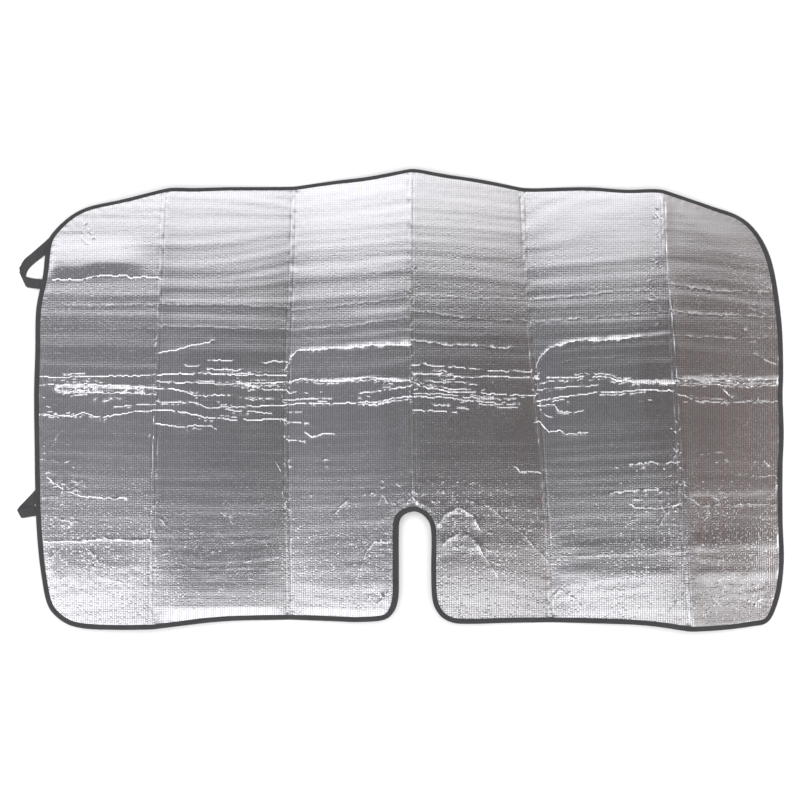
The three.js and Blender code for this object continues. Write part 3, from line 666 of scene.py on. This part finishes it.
def tape():
    hi, ho = SEAM_T / 2 + GAP, SEAM_T / 2 + GAP + TAPE_T
    wf = TAPE_WF
    wb = TAPE_CUT - leg_face(RIM[:, 0], RIM[:, 1]) + 0.3 * rim_wobble(RIM_S, 7, 41)
    ease = 0.05 * rim_wobble(RIM_S, 8, 17) + 0.04 * rim_wobble(RIM_S, 9, 9)
    prof = []
    o = np.ones(len(RIM))

    def add(d, z, across):
        prof.append((d * o, z * o, across))

    add(wf - 0.05, hi + 0.04, 0.0)
    add(wf + 0.0, hi + 0.28, 0.3)
    add(wf - 0.15, ho - 0.08, 0.6)
    add(wf - 0.55, ho + ease * 0.6, 1.1)
    add(wf - SEAM_IN + 0.75, ho + ease, 2.0)
    add(wf - SEAM_IN + 0.25, ho - 0.20, 2.5)
    add(wf - SEAM_IN - 0.25, ho - 0.20, 3.0)
    add(wf - SEAM_IN - 0.75, ho + ease + 0.02, 3.6)
    add(0.5 * (wf - SEAM_IN) + 0.3, ho + ease + 0.05, 5.5)
    add(1.15, ho + 0.03 + ease * 0.5, 7.4)
    add(0.50, ho - 0.22, 8.1)
    add(0.13, ho - 0.72, 8.7)
    add(0.0, 0.0, 9.6)
    add(0.13, -ho + 0.72, 10.5)
    add(0.50, -ho + 0.22, 11.1)
    add(1.15, -ho + 0.02, 11.8)
    add(0.5 * wb, -ho, 14.5)
    add(wb - SEAM_IN, -ho + 0.10, 17.5)
    add(wb - 0.4, -ho + 0.02, 19.0)
    add(wb, -ho + 0.25, 19.4)
    add(wb - 0.05, -hi - 0.04, 19.7)
    add(0.5 * wb, -hi, 22.0)
    add(TAPE_T + 0.25, -hi + 0.05, 24.0)
    add(TAPE_T, 0.0, 25.0)
    add(TAPE_T + 0.25, hi - 0.05, 26.0)
    add(0.5 * wf, hi, 28.0)
    m, n = len(prof), len(RIM)
    V = np.zeros((n, m, 3))
    UV = np.zeros((n, m, 2))
    for k, (d, z, across) in enumerate(prof):
        p = inset(d)
        V[:, k, :2] = p
        V[:, k, 2] = np.maximum(surf(p[:, 0], p[:, 1]) + z, 0.0)
        UV[:, k, 0] = RIM_S * MM
        UV[:, k, 1] = across * MM
    i, k = np.meshgrid(np.arange(n), np.arange(m), indexing="ij")
    j, l = (i + 1) % n, (k + 1) % m
    q = np.stack([i * m + k, j * m + k, j * m + l, i * m + l], -1).reshape(-1, 4)
    ob = mesh_object("sunshade_edge_tape", V.reshape(-1, 3), q, 60)
    sweep_uv(ob, UV.reshape(-1, 2))
    return ob


def stitches(name, inner, side):
    """Lockstitch along the tape, each stitch a small bent thread that dips into the tape."""
    pitch, r = 3.6, 0.19
    count = int(round(RIM_LEN / pitch))
    ho = SEAM_T / 2 + GAP + TAPE_T
    s = (np.arange(count) + 0.5) * RIM_LEN / count
    idx = s / RIM_LEN * len(RIM)
    verts, faces = [], []
    rings, sides = 6, 6
    t = np.linspace(-1, 1, rings)
    lift = np.sqrt(np.clip(1 - t**4, 0, 1)) * 0.24 - 0.16
    thick = r * np.array([0.55, 0.95, 1.0, 1.0, 0.95, 0.55])

    def at(u):
        f = np.mod(u, len(RIM))
        a = np.floor(f).astype(int) % len(RIM)
        b = (a + 1) % len(RIM)
        f = (f - np.floor(f))[:, None]
        p = RIM[a] * (1 - f) + RIM[b] * f
        nn = RIM_N[a] * (1 - f) + RIM_N[b] * f
        w = inner[a] * (1 - f[:, 0]) + inner[b] * f[:, 0]
        return p, nn / np.hypot(*nn.T)[:, None], w

    half = 0.42 * pitch / (RIM_LEN / len(RIM))
    for g in range(count):
        p, nn, w = at(idx[g] + t * half)
        q = p + nn * (w - SEAM_IN)[:, None]
        z = surf(q[:, 0], q[:, 1]) + side * (ho - 0.16 + lift)
        base = len(verts)
        for k in range(rings):
            for a in range(sides):
                ang = 2 * math.pi * a / sides
                verts.append((q[k, 0] + nn[k, 0] * math.cos(ang) * thick[k], q[k, 1] + nn[k, 1] * math.cos(ang) * thick[k],
                              max(z[k] + math.sin(ang) * thick[k], 0.0)))
        for k in range(rings - 1):
            for a in range(sides):
                b = (a + 1) % sides
                faces.append((base + k * sides + a, base + (k + 1) * sides + a, base + (k + 1) * sides + b, base + k * sides + b))
        faces.append(tuple(base + a for a in range(sides)))
        faces.append(tuple(base + (rings - 1) * sides + a for a in range(sides))[::-1])
    return mesh_object(name, np.array(verts), faces, 60)


# --------------------------------------------------------------------------- elastic loops
def centripetal(P, count):
    P = np.array(P, float)
    P = np.concatenate([[2 * P[0] - P[1]], P, [2 * P[-1] - P[-2]]])
    out = []
    for i in range(1, len(P) - 2):
        p0, p1, p2, p3 = P[i - 1:i + 3]
        d01, d12, d23 = (max(np.linalg.norm(b - a), 1e-9) ** 0.5 for a, b in ((p0, p1), (p1, p2), (p2, p3)))
        m1 = ((p1 - p0) / d01 - (p2 - p0) / (d01 + d12) + (p2 - p1) / d12) * d12
        m2 = ((p2 - p1) / d12 - (p3 - p1) / (d12 + d23) + (p3 - p2) / d23) * d12
        u = (np.arange(60) / 60)[:, None]
        out.append((2 * u**3 - 3 * u**2 + 1) * p1 + (u**3 - 2 * u**2 + u) * m1 + (-2 * u**3 + 3 * u**2) * p2 + (u**3 - u**2) * m2)
    out.append(P[-2:-1])
    C = np.concatenate(out)
    s = np.r_[0, np.cumsum(np.hypot(*np.diff(C, axis=0).T))]
    t = np.linspace(0, s[-1], count)
    return np.c_[np.interp(t, s, C[:, 0]), np.interp(t, s, C[:, 1])], s[-1]


def strap(name, tip, fold, a, b, lift, seed, nip):
    """A flat elastic that turns over itself at its tip; nip says how far each end of the fold draws in, and over what distance."""
    tip = np.array(tip, float)
    f = np.array(fold, float)
    f /= np.hypot(*f)
    g = np.array([f[1], -f[0]])
    if g[0] > 0:
        g = -g
    mirror = lambda p: np.array(p, float) - 2 * np.dot(np.array(p, float) - tip, g) * g
    ctl = [np.array(p, float) for p in a][::-1] + [tip] + [mirror(p) for p in b]
    S, length = centripetal(ctl, 801)
    q = (S - tip) @ g
    i0 = int(np.argmax(q >= 0))
    step = length / 800
    La, Lb = i0 * step, (800 - i0) * step
    arc = math.pi * STRAP_R

    def at(s):
        v = min(799.999, max(0.0, i0 + s / step))
        i = int(v)
        t = v - i
        p = S[i] * (1 - t) + S[i + 1] * t
        i1, i2 = max(0, i - 6), min(800, i + 7)
        tt = S[i2] - S[i1]
        return p, tt / np.hypot(*tt)

    _, t0 = at(0)
    sinp = abs(t0 @ g)
    st = [-La * u for u in np.linspace(1, 0.035, 56)] + [k / 14 * arc / sinp for k in range(15)]
    st += [arc / sinp + (Lb - arc / sinp) * u for u in np.linspace(0.035, 1, 50)]
    nw = 33
    W = np.linspace(-1, 1, nw)
    ribs = 0.055 * np.cos(np.pi * 10 * (W + 1)) * (np.abs(W) < 0.93)
    half = np.sqrt(np.clip(1 - np.clip((np.abs(W) - 0.955) / 0.045, 0, 1) ** 2, 0.12, 1))
    top, bot, uv = [], [], []
    for s in st:
        p, t = at(s)
        nrm = np.array([-t[1], t[0]])
        wgt = 1 - smooth(2 + arc, min(62.0, (La if s < 0 else Lb) - 1), abs(s - arc / 2))
        cot = (t @ f) / (nrm @ f)
        width = STRAP_W * (1 + 0.012 * float(line_noise(np.array([s / 9.0]), seed)[0]))
        for j, w in enumerate(W):
            pp = p + nrm * w * width / 2 + t * wgt * cot * w * STRAP_W / 2
            qq = (pp - tip) @ g
            cut, wide = nip[0] if w < 0 else nip[1]
            pp = p + (pp - p) * (1 - cut * w * w * math.exp(-((qq / wide) ** 2)))
            qq = (pp - tip) @ g
            th, out, z = 0.0, qq, STRAP_T / 2
            if s > 0 and qq > 1e-9:
                if qq < arc:
                    th = qq / STRAP_R
                    out = STRAP_R * math.sin(th)
                    z = STRAP_T / 2 + STRAP_R * (1 - math.cos(th))
                else:
                    th, out, z = math.pi, -(qq - arc), STRAP_T / 2 + 2 * STRAP_R
            P2 = pp + g * (out - qq)
            L = La if s < 0 else Lb
            e = float(smooth(lift[0 if s < 0 else 1], L - 6, abs(s)))
            zu = float(surf(P2[0], P2[1])) - (SEAM_T / 2 + GAP + TAPE_T) - GAP - 0.1 - STRAP_T / 2
            zz = z + (max(z, zu) - z) * e
            nx = np.array([-g[0] * math.sin(th), -g[1] * math.sin(th), math.cos(th)])
            c = np.array([P2[0], P2[1], zz])
            hh = (STRAP_T / 2 - 0.055) * half[j]
            top.append(c + nx * (hh + ribs[j]))
            bot.append(c - nx * (hh + ribs[j]))
            uv.append(((s + La) * MM, (w + 1) * STRAP_W / 2 * MM))
    ns = len(st)
    V = np.array(top + bot)
    V[:, 2] = np.maximum(V[:, 2], 0.0)
    m = ns * nw
    F = []
    idx = lambda i, j: i * nw + j
    for i in range(ns - 1):
        for j in range(nw - 1):
            A, B, C, D = idx(i, j), idx(i + 1, j), idx(i + 1, j + 1), idx(i, j + 1)
            F.append((A, B, C, D))
            F.append((A + m, D + m, C + m, B + m))
    rim = [idx(i, 0) for i in range(ns)] + [idx(ns - 1, j) for j in range(1, nw)]
    rim += [idx(i, nw - 1) for i in range(ns - 2, -1, -1)] + [idx(0, j) for j in range(nw - 2, 0, -1)]
    for k in range(len(rim)):
        A, B = rim[k], rim[(k + 1) % len(rim)]
        F.append((B, A, A + m, B + m))
    ob = mesh_object(name, V, F, 60)
    me = ob.data
    layer = me.uv_layers.new(name="tape")
    ids = np.empty(len(me.loops), int)
    me.loops.foreach_get("vertex_index", ids)
    layer.data.foreach_set("uv", np.array(uv + uv)[ids].ravel())
    return ob


# --------------------------------------------------------------------------- materials
class Nodes:
    def __init__(self, name):
        self.mat = bpy.data.materials.new(name)
        self.mat.use_nodes = True
        self.t = self.mat.node_tree
        self.t.nodes.clear()
        self.out = self.t.nodes.new("ShaderNodeOutputMaterial")
        self.bsdf = self.t.nodes.new("ShaderNodeBsdfPrincipled")
        self.t.links.new(self.bsdf.outputs[0], self.out.inputs[0])

    def node(self, kind, **props):
        n = self.t.nodes.new(kind)
        for k, v in props.items():
            setattr(n, k, v)
        return n

    def link(self, a, b):
        self.t.links.new(a, b)

    def math(self, op, a, b=None, c=None, clamp=False):
        n = self.node("ShaderNodeMath", operation=op, use_clamp=clamp)
        for i, v in enumerate((a, b, c)):
            if v is None:
                continue
            if isinstance(v, (int, float)):
                n.inputs[i].default_value = v
            else:
                self.link(v, n.inputs[i])
        return n.outputs[0]

    def noise(self, coord, scale, detail=2.0, rough=0.5, distortion=0.0):
        n = self.node("ShaderNodeTexNoise")
        self.link(coord, n.inputs["Vector"])
        n.inputs["Scale"].default_value = scale
        n.inputs["Detail"].default_value = detail
        n.inputs["Roughness"].default_value = rough
        n.inputs["Distortion"].default_value = distortion
        return n.outputs["Fac"]

    def remap(self, v, a, b, c, d):
        n = self.node("ShaderNodeMapRange")
        self.link(v, n.inputs["Value"])
        for k, val in zip(("From Min", "From Max", "To Min", "To Max"), (a, b, c, d)):
            n.inputs[k].default_value = val
        return n.outputs[0]

    def bump(self, height, distance, strength, normal=None):
        n = self.node("ShaderNodeBump")
        n.inputs["Strength"].default_value = strength
        n.inputs["Distance"].default_value = distance
        self.link(height, n.inputs["Height"])
        if normal is not None:
            self.link(normal, n.inputs["Normal"])
        return n.outputs[0]

    def mix_color(self, fac, a, b):
        n = self.node("ShaderNodeMix", data_type="RGBA")
        self.link(fac, n.inputs[0])
        for sock, v in ((n.inputs[6], a), (n.inputs[7], b)):
            if isinstance(v, tuple):
                sock.default_value = (*v, 1)
            else:
                self.link(v, sock)
        return n.outputs[2]


def foil_material():
    m = Nodes("embossed_foil")
    co = m.node("ShaderNodeTexCoord").outputs["Object"]
    sep = m.node("ShaderNodeSeparateXYZ")
    m.link(co, sep.inputs[0])
    pitch = 0.0039
    u, v = m.math("DIVIDE", sep.outputs[0], pitch), m.math("DIVIDE", sep.outputs[1], pitch)
    fu, fv = m.math("FRACT", u), m.math("FRACT", v)
    cell = m.node("ShaderNodeCombineXYZ")
    m.link(m.math("FLOOR", u), cell.inputs[0])
    m.link(m.math("FLOOR", v), cell.inputs[1])
    wn = m.node("ShaderNodeTexWhiteNoise", noise_dimensions="3D")
    m.link(cell.outputs[0], wn.inputs["Vector"])
    rnd = m.node("ShaderNodeSeparateColor")
    m.link(wn.outputs["Color"], rnd.inputs[0])
    # each cell of the emboss is a shallow pillow with its own small tilt, between pressed lines
    cu, cv = m.math("SUBTRACT", fu, 0.5), m.math("SUBTRACT", fv, 0.5)
    lu = m.remap(m.math("ABSOLUTE", cu), 0.30, 0.5, 0.0, 1.0)
    lv = m.remap(m.math("ABSOLUTE", cv), 0.30, 0.5, 0.0, 1.0)
    top = m.math("MULTIPLY", m.math("SUBTRACT", 1.0, lu), m.math("SUBTRACT", 1.0, lv))

    def spread(r):
        c = m.math("MULTIPLY", m.math("SUBTRACT", r, 0.5), 2.0)
        return m.math("MULTIPLY", c, m.math("MULTIPLY", c, c))

    tilt = m.math("ADD", m.math("MULTIPLY", cu, spread(rnd.outputs[0])), m.math("MULTIPLY", cv, spread(rnd.outputs[1])))
    height = m.math("ADD", m.math("MULTIPLY", lu, -0.075), m.math("MULTIPLY", lv, -0.022))
    # the emboss is shallower towards the top edge
    shallow = m.remap(sep.outputs[1], 0.20, 0.31, 1.0, 0.35)
    height = m.math("MULTIPLY", height, shallow)
    lively = m.math("MULTIPLY", m.math("MAXIMUM", m.remap(sep.outputs[1], -0.10, -0.25, 0.05, 0.22),
                                         m.remap(m.math("ABSOLUTE", m.math("SUBTRACT", sep.outputs[1], 0.205)), 0.05, 0.10, 0.09, 0.05)), m.remap(m.noise(co, 14.0, 2.0, 0.5), 0.35, 0.65, 0.6, 1.2))
    # some panels are more worked than others
    worn = m.node("ShaderNodeValToRGB")
    m.link(m.remap(sep.outputs[0], -0.7, 0.7, 0.0, 1.0), worn.inputs[0])
    for i, (at, much) in enumerate(((-0.44, 1.0), (-0.40, 0.55), (-0.20, 0.6), (-0.12, 0.75), (0.0, 0.8), (0.05, 1.0), (0.20, 1.0), (0.28, 0.7), (0.47, 0.75), (0.53, 1.0))):
        stop = worn.color_ramp.elements[i] if i < 2 else worn.color_ramp.elements.new((at + 0.7) / 1.4)
        stop.position = (at + 0.7) / 1.4
        stop.color = (much, much, much, 1)
    lively = m.math("MULTIPLY", m.math("MULTIPLY", lively, 1.25), worn.outputs[0])
    height = m.math("ADD", height, m.math("MULTIPLY", m.math("MULTIPLY", tilt, top), lively))
    n1 = m.bump(height, 0.001, 1.0)
    fine = m.noise(co, 900.0, 2.0, 0.5)
    n2 = m.bump(fine, 0.000006, 1.0, n1)
    crinkle = m.noise(co, 95.0, 3.0, 0.5, 0.4)
    n3 = m.bump(crinkle, 0.00004, 1.0, n2)
    drawn = m.node("ShaderNodeCombineXYZ")
    m.link(m.math("MULTIPLY", sep.outputs[0], 9.0), drawn.inputs[0])
    m.link(m.math("MULTIPLY", sep.outputs[1], 190.0), drawn.inputs[1])
    n3 = m.bump(m.noise(drawn.outputs[0], 1.0, 2.0, 0.5), 0.00004, 1.0, n3)
    m.link(n3, m.bsdf.inputs["Normal"])
    # film colour: a cool tone with soft clouding, and painted shade that darkens the pressed lines of the emboss
    cloud = m.noise(co, 9.0, 3.0, 0.55)
    base = m.mix_color(m.remap(cloud, 0.3, 0.7, 0.0, 1.0), (0.800, 0.795, 0.825), (0.835, 0.830, 0.850))
    # painted shade: the base colour is darkened along the pressed lines, one direction more than the other, and less
    # near the top edge where the emboss is shallow
    base = m.mix_color(m.math("MULTIPLY", m.math("MULTIPLY", lu, 0.90), shallow), base, (0.44, 0.435, 0.465))
    base = m.mix_color(m.math("MULTIPLY", lv, 0.14), base, (0.52, 0.515, 0.545))
    base = m.mix_color(m.math("MULTIPLY", rnd.outputs[2], 0.12), base, (0.62, 0.62, 0.65))
    m.link(base, m.bsdf.inputs["Base Color"])
    rough = m.math("ADD", m.remap(cloud, 0.3, 0.7, 0.10, 0.12), m.math("MULTIPLY", rnd.outputs[2], 0.03))
    m.link(rough, m.bsdf.inputs["Roughness"])
    m.bsdf.inputs["Metallic"].default_value = 1.0
    return m.mat


def tape_material(name, dark, light, rib, across, sheen):
    """Woven tape from the piece's own along and across coordinates."""
    m = Nodes(name)
    uv = m.node("ShaderNodeUVMap", uv_map="tape").outputs[0]
    sep = m.node("ShaderNodeSeparateXYZ")
    m.link(uv, sep.inputs[0])
    a = m.math("SINE", m.math("MULTIPLY", sep.outputs[0], 2 * math.pi / rib))
    b = m.math("SINE", m.math("MULTIPLY", sep.outputs[1], 2 * math.pi / across))
    weave = m.math("MULTIPLY", a, b)
    co = m.node("ShaderNodeTexCoord").outputs["Object"]
    fuzz = m.noise(co, 2600.0, 4.0, 0.65)
    cloud = m.noise(co, 40.0, 3.0, 0.6)
    h = m.math("ADD", m.math("MULTIPLY", weave, 0.5), m.math("ADD", m.math("MULTIPLY", a, 0.35), m.math("MULTIPLY", fuzz, 0.7)))
    m.link(m.bump(h, 0.00010, 0.9), m.bsdf.inputs["Normal"])
    t = m.math("ADD", m.remap(weave, -1, 1, 0.15, 0.65), m.math("MULTIPLY", m.math("SUBTRACT", cloud, 0.5), 0.7), clamp=True)
    m.link(m.mix_color(t, dark, light), m.bsdf.inputs["Base Color"])
    m.link(m.remap(fuzz, 0.3, 0.7, 0.72, 0.92), m.bsdf.inputs["Roughness"])
    m.bsdf.inputs["Sheen Weight"].default_value = sheen
    m.bsdf.inputs["Sheen Roughness"].default_value = 0.5
    m.bsdf.inputs["Specular IOR Level"].default_value = 0.3
    return m.mat


def thread_material():
    m = Nodes("seam_thread")
    co = m.node("ShaderNodeTexCoord").outputs["Object"]
    fuzz = m.noise(co, 3500.0, 2.0, 0.6)
    m.link(m.bump(fuzz, 0.00006, 0.8), m.bsdf.inputs["Normal"])
    m.link(m.mix_color(fuzz, (0.020, 0.020, 0.021), (0.055, 0.055, 0.057)), m.bsdf.inputs["Base Color"])
    m.bsdf.inputs["Roughness"].default_value = 0.6
    m.bsdf.inputs["Sheen Weight"].default_value = 0.2
    return m.mat


def paint(ob, mat):
    ob.data.materials.clear()
    ob.data.materials.append(mat)


foil = foil_material()
tape_mat = tape_material("edge_tape", (0.023, 0.023, 0.024), (0.068, 0.068, 0.071), 0.00085, 0.0011, 0.15)
elastic_mat = tape_material("ribbed_elastic", (0.023, 0.023, 0.025), (0.084, 0.084, 0.087), 0.0011, 0.0017, 0.2)
thread_mat = thread_material()

sheet = foil_sheet()
paint(sheet, foil)
binding = tape()
paint(binding, tape_mat)
face_seam = stitches("seam_thread_face", TAPE_WF, 1)
paint(face_seam, thread_mat)
back_seam = stitches("seam_thread_back", TAPE_CUT - leg_face(RIM[:, 0], RIM[:, 1]), -1)
paint(back_seam, thread_mat)
upper = strap("sunshade_loop_upper", (-658.9, 215), (0.42, -0.907),
              [(-658, 225.9), (-651.8, 236.6), (-631.1, 254.5), (-608.8, 273.4), (-598, 282.6)],
              [(-649, 208.2), (-637.8, 204.6), (-623.9, 203.2), (-613.5, 202.5)], (34, 26), 601, ((0.40, 9.0), (0.20, 5.0)))
lower = strap("sunshade_loop_lower", (-663.3, -197.6), (0.473, -0.881),
              [(-650, -183.8), (-637, -170.3), (-624, -157)],
              [(-650, -195.1), (-637, -192.7), (-621, -189.7)], (34, 26), 602, ((0.13, 3.0), (0.13, 3.0)))
paint(upper, elastic_mat)
paint(lower, elastic_mat)

for ob in (sheet, binding, face_seam, back_seam, upper, lower):
    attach(ob, "root")
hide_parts("foil_sheet")
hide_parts("edge_binding")
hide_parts("elastic_loop_upper")
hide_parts("elastic_loop_lower")

# --------------------------------------------------------------------------- floor, light, camera
floor_me = bpy.data.meshes.new("floor")
floor_me.from_pydata([(-20, -20, 0), (20, -20, 0), (20, 20, 0), (-20, 20, 0)], [], [(0, 1, 2, 3)])
floor = bpy.data.objects.new("floor", floor_me)
floor.location.z = -0.0004
bpy.context.scene.collection.objects.link(floor)
fl = Nodes("pale_floor")
fl.bsdf.inputs["Base Color"].default_value = (0.93, 0.93, 0.93, 1)
fl.bsdf.inputs["Roughness"].default_value = 0.9
fl.bsdf.inputs["Specular IOR Level"].default_value = 0.1
paint(floor, fl.mat)


POWER = 1.4


def studio():
    w = bpy.data.worlds.new("studio")
    bpy.context.scene.world = w
    w.use_nodes = True
    t = w.node_tree
    t.nodes.clear()
    out = t.nodes.new("ShaderNodeOutputWorld")
    bg = t.nodes.new("ShaderNodeBackground")
    t.links.new(bg.outputs[0], out.inputs[0])
    tc = t.nodes.new("ShaderNodeTexCoord")
    sep = t.nodes.new("ShaderNodeSeparateXYZ")
    t.links.new(tc.outputs["Generated"], sep.inputs[0])

    def M(op, a, b=None, c=None, clamp=False):
        n = t.nodes.new("ShaderNodeMath")
        n.operation = op
        n.use_clamp = clamp
        for i, v in enumerate((a, b, c)):
            if v is None:
                continue
            if isinstance(v, (int, float)):
                n.inputs[i].default_value = v
            else:
                t.links.new(v, n.inputs[i])
        return n.outputs[0]

    def ramp(v, a, b, stops, kind, power=1.0):
        n = t.nodes.new("ShaderNodeMapRange")
        t.links.new(v, n.inputs["Value"])
        n.inputs["From Min"].default_value = a
        n.inputs["From Max"].default_value = b
        r = t.nodes.new("ShaderNodeValToRGB")
        t.links.new(n.outputs[0], r.inputs[0])
        r.color_ramp.interpolation = kind
        el = r.color_ramp.elements
        while len(el) > 1:
            el.remove(el[-1])
        for i, (p, col) in enumerate(stops):
            e = el[0] if i == 0 else el.new((p - a) / (b - a))
            e.position = (p - a) / (b - a)
            e.color = (*(c / POWER for c in col), 1) if isinstance(col, tuple) else (col / power, col / power, col / power, 1)
        return r.outputs[0]

    def mix(fac, one, two):
        n = t.nodes.new("ShaderNodeMix")
        n.data_type = "RGBA"
        t.links.new(fac, n.inputs[0])
        t.links.new(one, n.inputs[6])
        t.links.new(two, n.inputs[7])
        return n.outputs[2]

    z = M("MAXIMUM", sep.outputs[2], 0.02)
    sx, sy = M("DIVIDE", sep.outputs[0], z), M("DIVIDE", sep.outputs[1], z)
    # a long soft box towards each long side with a dim gap overhead
    near = ramp(sx, -0.8, 0.8, [(-0.27, 0.0), (-0.21, 0.5), (-0.14, 0.65), (-0.10, 1.0), (0.0, 1.0), (0.035, 0.45), (0.11, 0.35), (0.15, 0.0), (0.26, 0.0), (0.33, 0.0)], "LINEAR")
    low_side = M("MULTIPLY", sy, -16.0, clamp=True)
    shifted = M("ADD", sy, M("MULTIPLY", M("MULTIPLY_ADD", near, 0.045, -0.006), low_side))
    box = ramp(shifted, -0.3, 0.3, [(-0.3, 1.0), (-0.21, 1.0), (-0.19, 0.94), (-0.17, 0.62), (-0.15, 0.36), (-0.13, 0.22), (-0.11, 0.12), (-0.09, 0.05),
                               (-0.075, 0.0), (0.074, 0.0), (0.088, 0.05), (0.10, 0.20), (0.115, 0.38), (0.13, 0.58), (0.145, 0.80), (0.16, 0.97),
                               (0.17, 1.0), (0.3, 1.0)], "LINEAR")
    lit = ramp(sx, -0.8, 0.8, [(-0.8, (0.92, 0.92, 0.94)), (-0.42, (1.0, 1.0, 1.02)), (-0.25, (1.05, 1.05, 1.07)), (-0.15, (1.10, 1.10, 1.13)),
                               (-0.05, (1.02, 1.02, 1.04)), (0.06, (0.98, 0.98, 1.0)), (0.13, (0.95, 0.94, 0.95)), (0.20, (0.88, 0.87, 0.87)),
                               (0.30, (0.66, 0.64, 0.63)), (0.42, (0.40, 0.38, 0.37)), (0.8, (0.44, 0.42, 0.41))], "B_SPLINE")
    reach = ramp(sy, -0.5, 0.5, [(-0.5, 1.4), (-0.24, 1.4), (-0.18, 1.38), (-0.14, 1.25), (0.0, 1.0), (0.12, 1.0), (0.165, 1.12), (0.21, 1.2), (0.26, 1.4), (0.5, 1.4)], "LINEAR", 1.4)
    dim = ramp(sx, -0.8, 0.8, [(-0.8, (0.24, 0.24, 0.25)), (-0.42, (0.24, 0.24, 0.25)), (-0.25, (0.24, 0.24, 0.25)), (-0.15, (0.23, 0.23, 0.24)),
                               (-0.05, (0.18, 0.18, 0.19)), (0.06, (0.175, 0.175, 0.18)), (0.12, (0.15, 0.15, 0.15)), (0.17, (0.11, 0.11, 0.11)),
                               (0.24, (0.13, 0.12, 0.115)), (0.34, (0.196, 0.158, 0.144)), (0.45, (0.227, 0.177, 0.163)), (0.8, (0.24, 0.21, 0.20))], "B_SPLINE")
    dim_up = ramp(sx, -0.8, 0.8, [(-0.8, (0.18, 0.18, 0.19)), (-0.42, (0.175, 0.175, 0.18)), (-0.25, (0.195, 0.195, 0.20)), (-0.15, (0.215, 0.215, 0.225)),
                                  (-0.05, (0.18, 0.18, 0.19)), (0.06, (0.205, 0.205, 0.21)), (0.12, (0.17, 0.17, 0.17)), (0.17, (0.095, 0.095, 0.095)),
                                  (0.24, (0.11, 0.10, 0.10)), (0.34, (0.155, 0.129, 0.120)), (0.45, (0.18, 0.148, 0.134)), (0.8, (0.20, 0.18, 0.17))], "B_SPLINE")
    rise = t.nodes.new("ShaderNodeMapRange")
    rise.interpolation_type = "SMOOTHSTEP"
    t.links.new(sy, rise.inputs["Value"])
    rise.inputs["From Min"].default_value = 0.0
    rise.inputs["From Max"].default_value = 0.045
    dim = mix(rise.outputs[0], dim, dim_up)
    far = t.nodes.new("ShaderNodeMix")
    far.data_type = "RGBA"
    far.blend_type = "MULTIPLY"
    far.inputs[0].default_value = 1.0
    t.links.new(lit, far.inputs[6])
    t.links.new(reach, far.inputs[7])
    up = t.nodes.new("ShaderNodeVectorMath")
    up.operation = "SCALE"
    t.links.new(far.outputs[2], up.inputs[0])
    up.inputs["Scale"].default_value = 1.4
    overhead = mix(box, dim, up.outputs[0])
    # lower in the room everything is plain and bright, which lights the floor evenly
    r2 = M("ADD", M("MULTIPLY", sx, sx), M("MULTIPLY", sy, sy))
    low = t.nodes.new("ShaderNodeMapRange")
    low.interpolation_type = "SMOOTHSTEP"
    t.links.new(r2, low.inputs["Value"])
    low.inputs["From Min"].default_value = 0.35
    low.inputs["From Max"].default_value = 1.2
    room = t.nodes.new("ShaderNodeMix")
    room.data_type = "RGBA"
    t.links.new(low.outputs[0], room.inputs[0])
    t.links.new(overhead, room.inputs[6])
    # towards the walls it falls to soft pools of light, so that the foil has something to mirror from the side
    pools = t.nodes.new("ShaderNodeTexNoise")
    t.links.new(tc.outputs["Generated"], pools.inputs["Vector"])
    pools.inputs["Scale"].default_value = 2.6
    pools.inputs["Detail"].default_value = 1.0
    soft = t.nodes.new("ShaderNodeMapRange")
    soft.interpolation_type = "SMOOTHSTEP"
    t.links.new(pools.outputs["Fac"], soft.inputs["Value"])
    soft.inputs["From Min"].default_value = 0.40
    soft.inputs["From Max"].default_value = 0.60
    walls = t.nodes.new("ShaderNodeMix")
    walls.data_type = "RGBA"
    t.links.new(soft.outputs[0], walls.inputs[0])
    walls.inputs[6].default_value = (0.30 / POWER, 0.305 / POWER, 0.32 / POWER, 1)
    walls.inputs[7].default_value = (1.05 / POWER, 1.05 / POWER, 1.07 / POWER, 1)
    side = t.nodes.new("ShaderNodeMapRange")
    side.interpolation_type = "SMOOTHSTEP"
    t.links.new(r2, side.inputs["Value"])
    side.inputs["From Min"].default_value = 1.7
    side.inputs["From Max"].default_value = 4.2
    around = t.nodes.new("ShaderNodeMix")
    around.data_type = "RGBA"
    t.links.new(side.outputs[0], around.inputs[0])
    around.inputs[6].default_value = (2.5 / POWER, 2.5 / POWER, 2.52 / POWER, 1)
    t.links.new(walls.outputs[2], around.inputs[7])
    t.links.new(around.outputs[2], room.inputs[7])
    t.links.new(room.outputs[2], bg.inputs[0])
    bg.inputs[1].default_value = POWER


studio()

cam_data = bpy.data.cameras.new("camera")
cam = bpy.data.objects.new("camera", cam_data)
bpy.context.scene.collection.objects.link(cam)
cam.location = (0.0, 0.0, 2.0)
cam.rotation_euler = (0.0, 0.0, 0.0)
cam_data.sensor_width = 36.0
cam_data.lens = 36.0 * (2.0 - 0.008) / (800 * 1.738 * MM)
bpy.context.scene.camera = cam
bpy.context.scene.view_settings.view_transform = "Standard"
